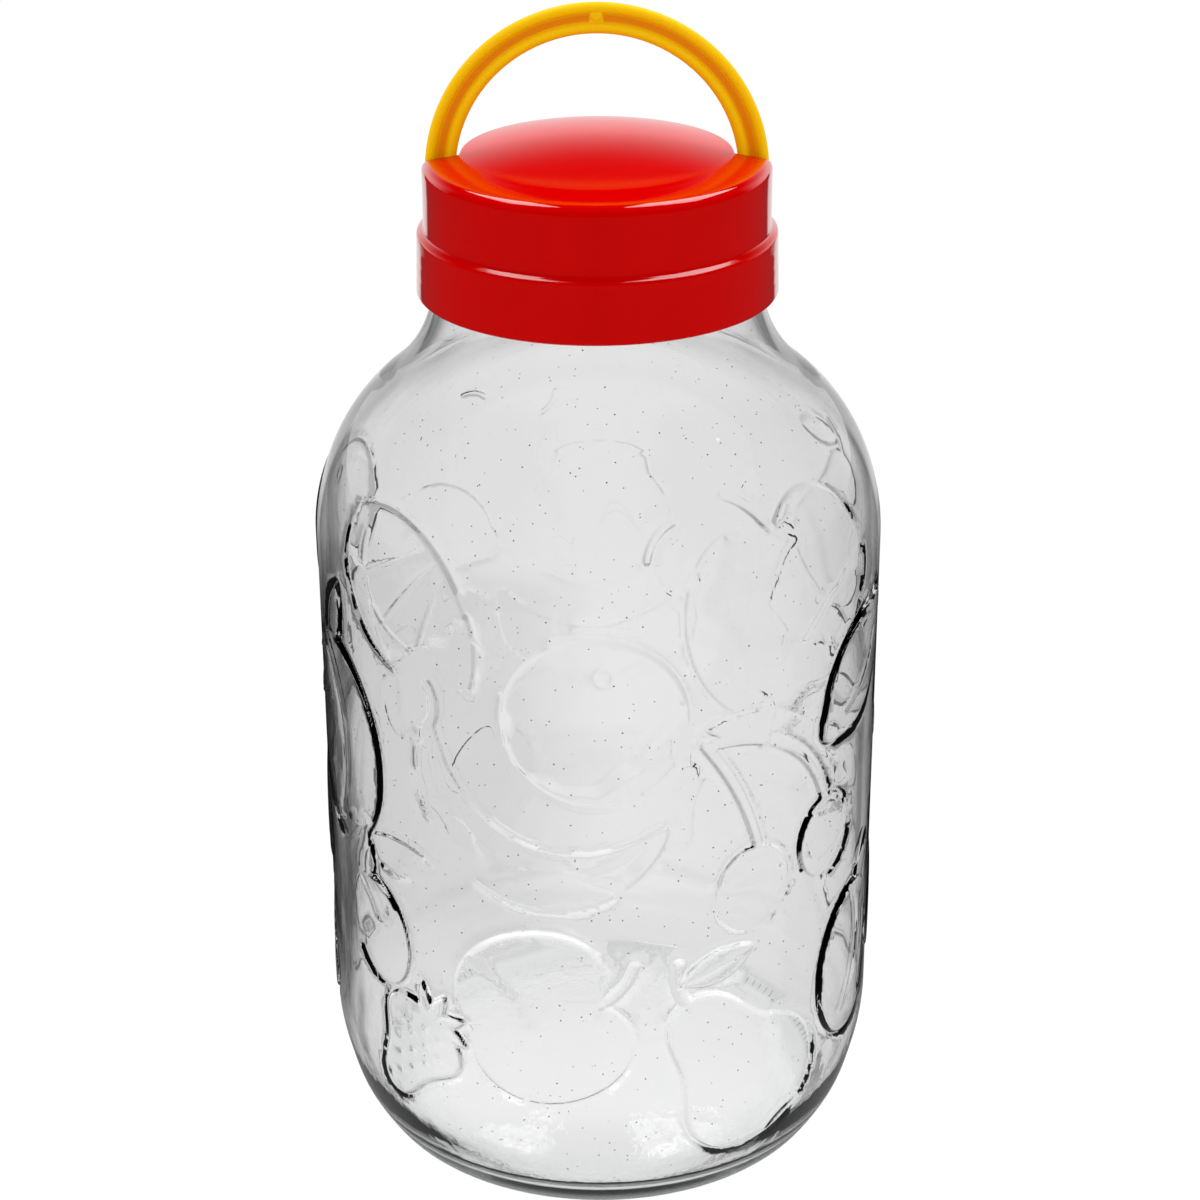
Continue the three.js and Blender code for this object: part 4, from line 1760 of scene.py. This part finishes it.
@dataclass
class Studio:
    """The pale floor, the bright surroundings, two soft overhead lamps and the camera."""

    floor_half: float = 6.0
    floor_parts: int = 8
    floor_drop: float = 0.0002
    eye: tuple[float, float, float] = (0.00025, -0.8067, 0.5404)
    pitch: float = 24.5
    roll: float = -0.28
    lens: float = 86.55
    lamp_sizes: tuple[tuple[float, float], ...] = ((0.38, 0.86), (0.58, 0.86))
    lamp_places: tuple[tuple[float, float, float], ...] = ((-0.37, 0.46, 1.2), (0.42, 0.46, 1.2))
    radiance: float = 3.6
    fill: float = 0.95
    floor_white: float = 0.975
    paint: Colour = (0.035, 0.035, 0.035, 1)
    # What shows through the glass: the floor far off, under the jar, before it, at its left and aside
    far: Ramp = (0.85, 1.3, 0.82, 0.5)
    under: Ramp = (0.064, 0.08, 1.24, 0.97)
    before: Ramp = (-0.085, -0.068, 1.75, 1.0)
    front: Ramp = (-0.05, -0.02, 0.86, 1.0)
    left: Ramp = (-0.045, 0.01, 0.16, 0.0)
    left_span: tuple[float, float, float] = (0.09, 0.41, 0.04)
    aside: Ramp = (0.0025, 0.0625, 1.0, 0.55)
    aside_far: Ramp = (0.4, 0.8, 1.0, 0.3)
    sky: Ramp = (0.0, 0.6, 0.6, 0.3)
    # What glossy surfaces reflect: the floor behind the jar and round its foot, and the surroundings
    mirror_wedge: tuple[float, float] = (0.82, 0.87)
    mirror_far: Ramp = (0.3, 0.7, 0.0, 0.85)
    mirror_near: Ramp = (0.1, 0.2, 0.3, 0.0)
    sky_wedge: tuple[float, float] = (0.3, 0.75)
    sky_mirror: Ramp = (0.15, 0.58, 0.9, 0.0)

    def by_ray(
        self, shader: Shader, camera: Sock | float, through: Sock | float, mirror: Sock | float
    ) -> Sock:
        """The brightness that each kind of ray meets.

        Args:
            shader: the tree.
            camera: what the camera sees.
            through: what shows through the glass.
            mirror: what glossy surfaces reflect.

        Returns:
            The brightness; diffuse light gets the fill.
        """
        path = shader.node("ShaderNodeLightPath").outputs
        kinds = ("Camera", "Glossy", "Transmission", "Diffuse")
        seen, glossy, passed, soft = (Sock(shader, path[f"Is {kind} Ray"]) for kind in kinds)
        return seen * camera + passed * through + (glossy - glossy * passed) * mirror + soft * self.fill

    def wedge(self, forward: Sock, side: Sock, start: float, end: float) -> Sock:
        """One straight behind the jar and nought to its sides.

        Args:
            forward: distance behind the jar.
            side: distance beside its middle.
            start: cosine of the angle where the bright part ends.
            end: cosine of the angle within which it is full.

        Returns:
            The share of the bright part.
        """
        length = (forward * forward + side * side + 1e-6) ** 0.5
        return forward.math("DIVIDE", length).ramp(start, end)

    def floor(self) -> None:
        """The floor, which keeps a faint shadow."""
        made = bmesh.new()
        parts = self.floor_parts
        bmesh.ops.create_grid(made, x_segments=parts, y_segments=parts, size=self.floor_half)
        bmesh.ops.translate(made, vec=(0, 0, -self.floor_drop), verts=made.verts)
        piece = finish_piece("studio_floor", made)
        material, shader = new_material("pale_floor")
        x, y, _ = shader.axes(shader.place())
        radius = apart(x, y)
        through = radius.ramp(*self.far) * radius.ramp(*self.under)
        through = through * y.ramp(*self.before) * y.ramp(*self.front)
        through = through * (1 - x.ramp(*self.left) * y.within(*self.left_span))
        through = through * (x * x * y.ramp(*self.aside_far)).ramp(*self.aside)
        mirror = self.wedge(y, x, *self.mirror_wedge) * radius.ramp(*self.mirror_far)
        mirror = mirror + radius.ramp(*self.mirror_near)
        level = self.by_ray(shader, self.floor_white, through, mirror)
        glow = shader.node("ShaderNodeEmission", None, {"Color": WHITE, "Strength": level})
        paint = shader.node("ShaderNodeBsdfDiffuse", None, {"Color": self.paint})
        both = shader.node("ShaderNodeAddShader", None, {0: glow.outputs[0], 1: paint.outputs[0]})
        shader.close(both.outputs[0])
        piece.data.materials.append(material)

    def world(self) -> None:
        """The surroundings: white to the camera, bright low down behind and darker overhead."""
        world = bpy.data.worlds.new("studio_light")
        bpy.context.scene.world = world
        world.use_nodes = True
        shader = Shader(world.node_tree, "ShaderNodeOutputWorld")
        side, forward, up = shader.axes(shader.node("ShaderNodeTexCoord").outputs["Generated"])
        mirror = up.ramp(*self.sky_mirror) * self.wedge(forward, side, *self.sky_wedge)
        level = self.by_ray(shader, 1.0, up.ramp(*self.sky), mirror)
        back = shader.node("ShaderNodeBackground", None, {"Color": WHITE, "Strength": level})
        shader.close(back.outputs[0])

    def lamps(self) -> None:
        """Two soft boxes overhead, facing down."""
        for i, (place, (across, along)) in enumerate(zip(self.lamp_places, self.lamp_sizes)):
            data = bpy.data.lights.new(f"soft_box_{i + 1}", "AREA")
            data.shape = "RECTANGLE"
            data.size, data.size_y = across, along
            data.energy = self.radiance * math.pi * across * along
            lamp = bpy.data.objects.new(data.name, data)
            bpy.context.scene.collection.objects.link(lamp)
            lamp.location = place

    def camera(self) -> None:
        """The camera, at the photograph's place and angle."""
        data = bpy.data.cameras.new("front_camera")
        data.sensor_width, data.lens = 36, self.lens
        camera = bpy.data.objects.new("front_camera", data)
        bpy.context.scene.collection.objects.link(camera)
        tilt = Matrix.Rotation(math.radians(90 - self.pitch), 4, "X")
        turn = Matrix.Rotation(math.radians(self.roll), 4, "Z")
        camera.matrix_world = Matrix.Translation(self.eye) @ tilt @ turn
        bpy.context.scene.camera = camera

    def build(self) -> None:
        """Sets the stage."""
        self.camera()
        self.floor()
        self.world()
        self.lamps()
        bpy.context.scene.view_settings.view_transform = "Standard"


def main() -> None:
    """Builds the jar's pieces in order and reports each of them."""
    logging.basicConfig(level=logging.INFO, format="%(message)s")
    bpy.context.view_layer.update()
    Studio().build()
    builders: tuple[Callable[[], bpy.types.Object], ...] = (
        GlassJar().build, ScrewCap().build, SealingLiner().build, CarryingHandle().build,
    )
    for build in builders:
        piece = build()
        mesh = piece.data
        mesh.calc_loop_triangles()
        LOG.info("%s: %d triangles", piece.name, len(mesh.loop_triangles))


if __name__ == "__main__":
    main()
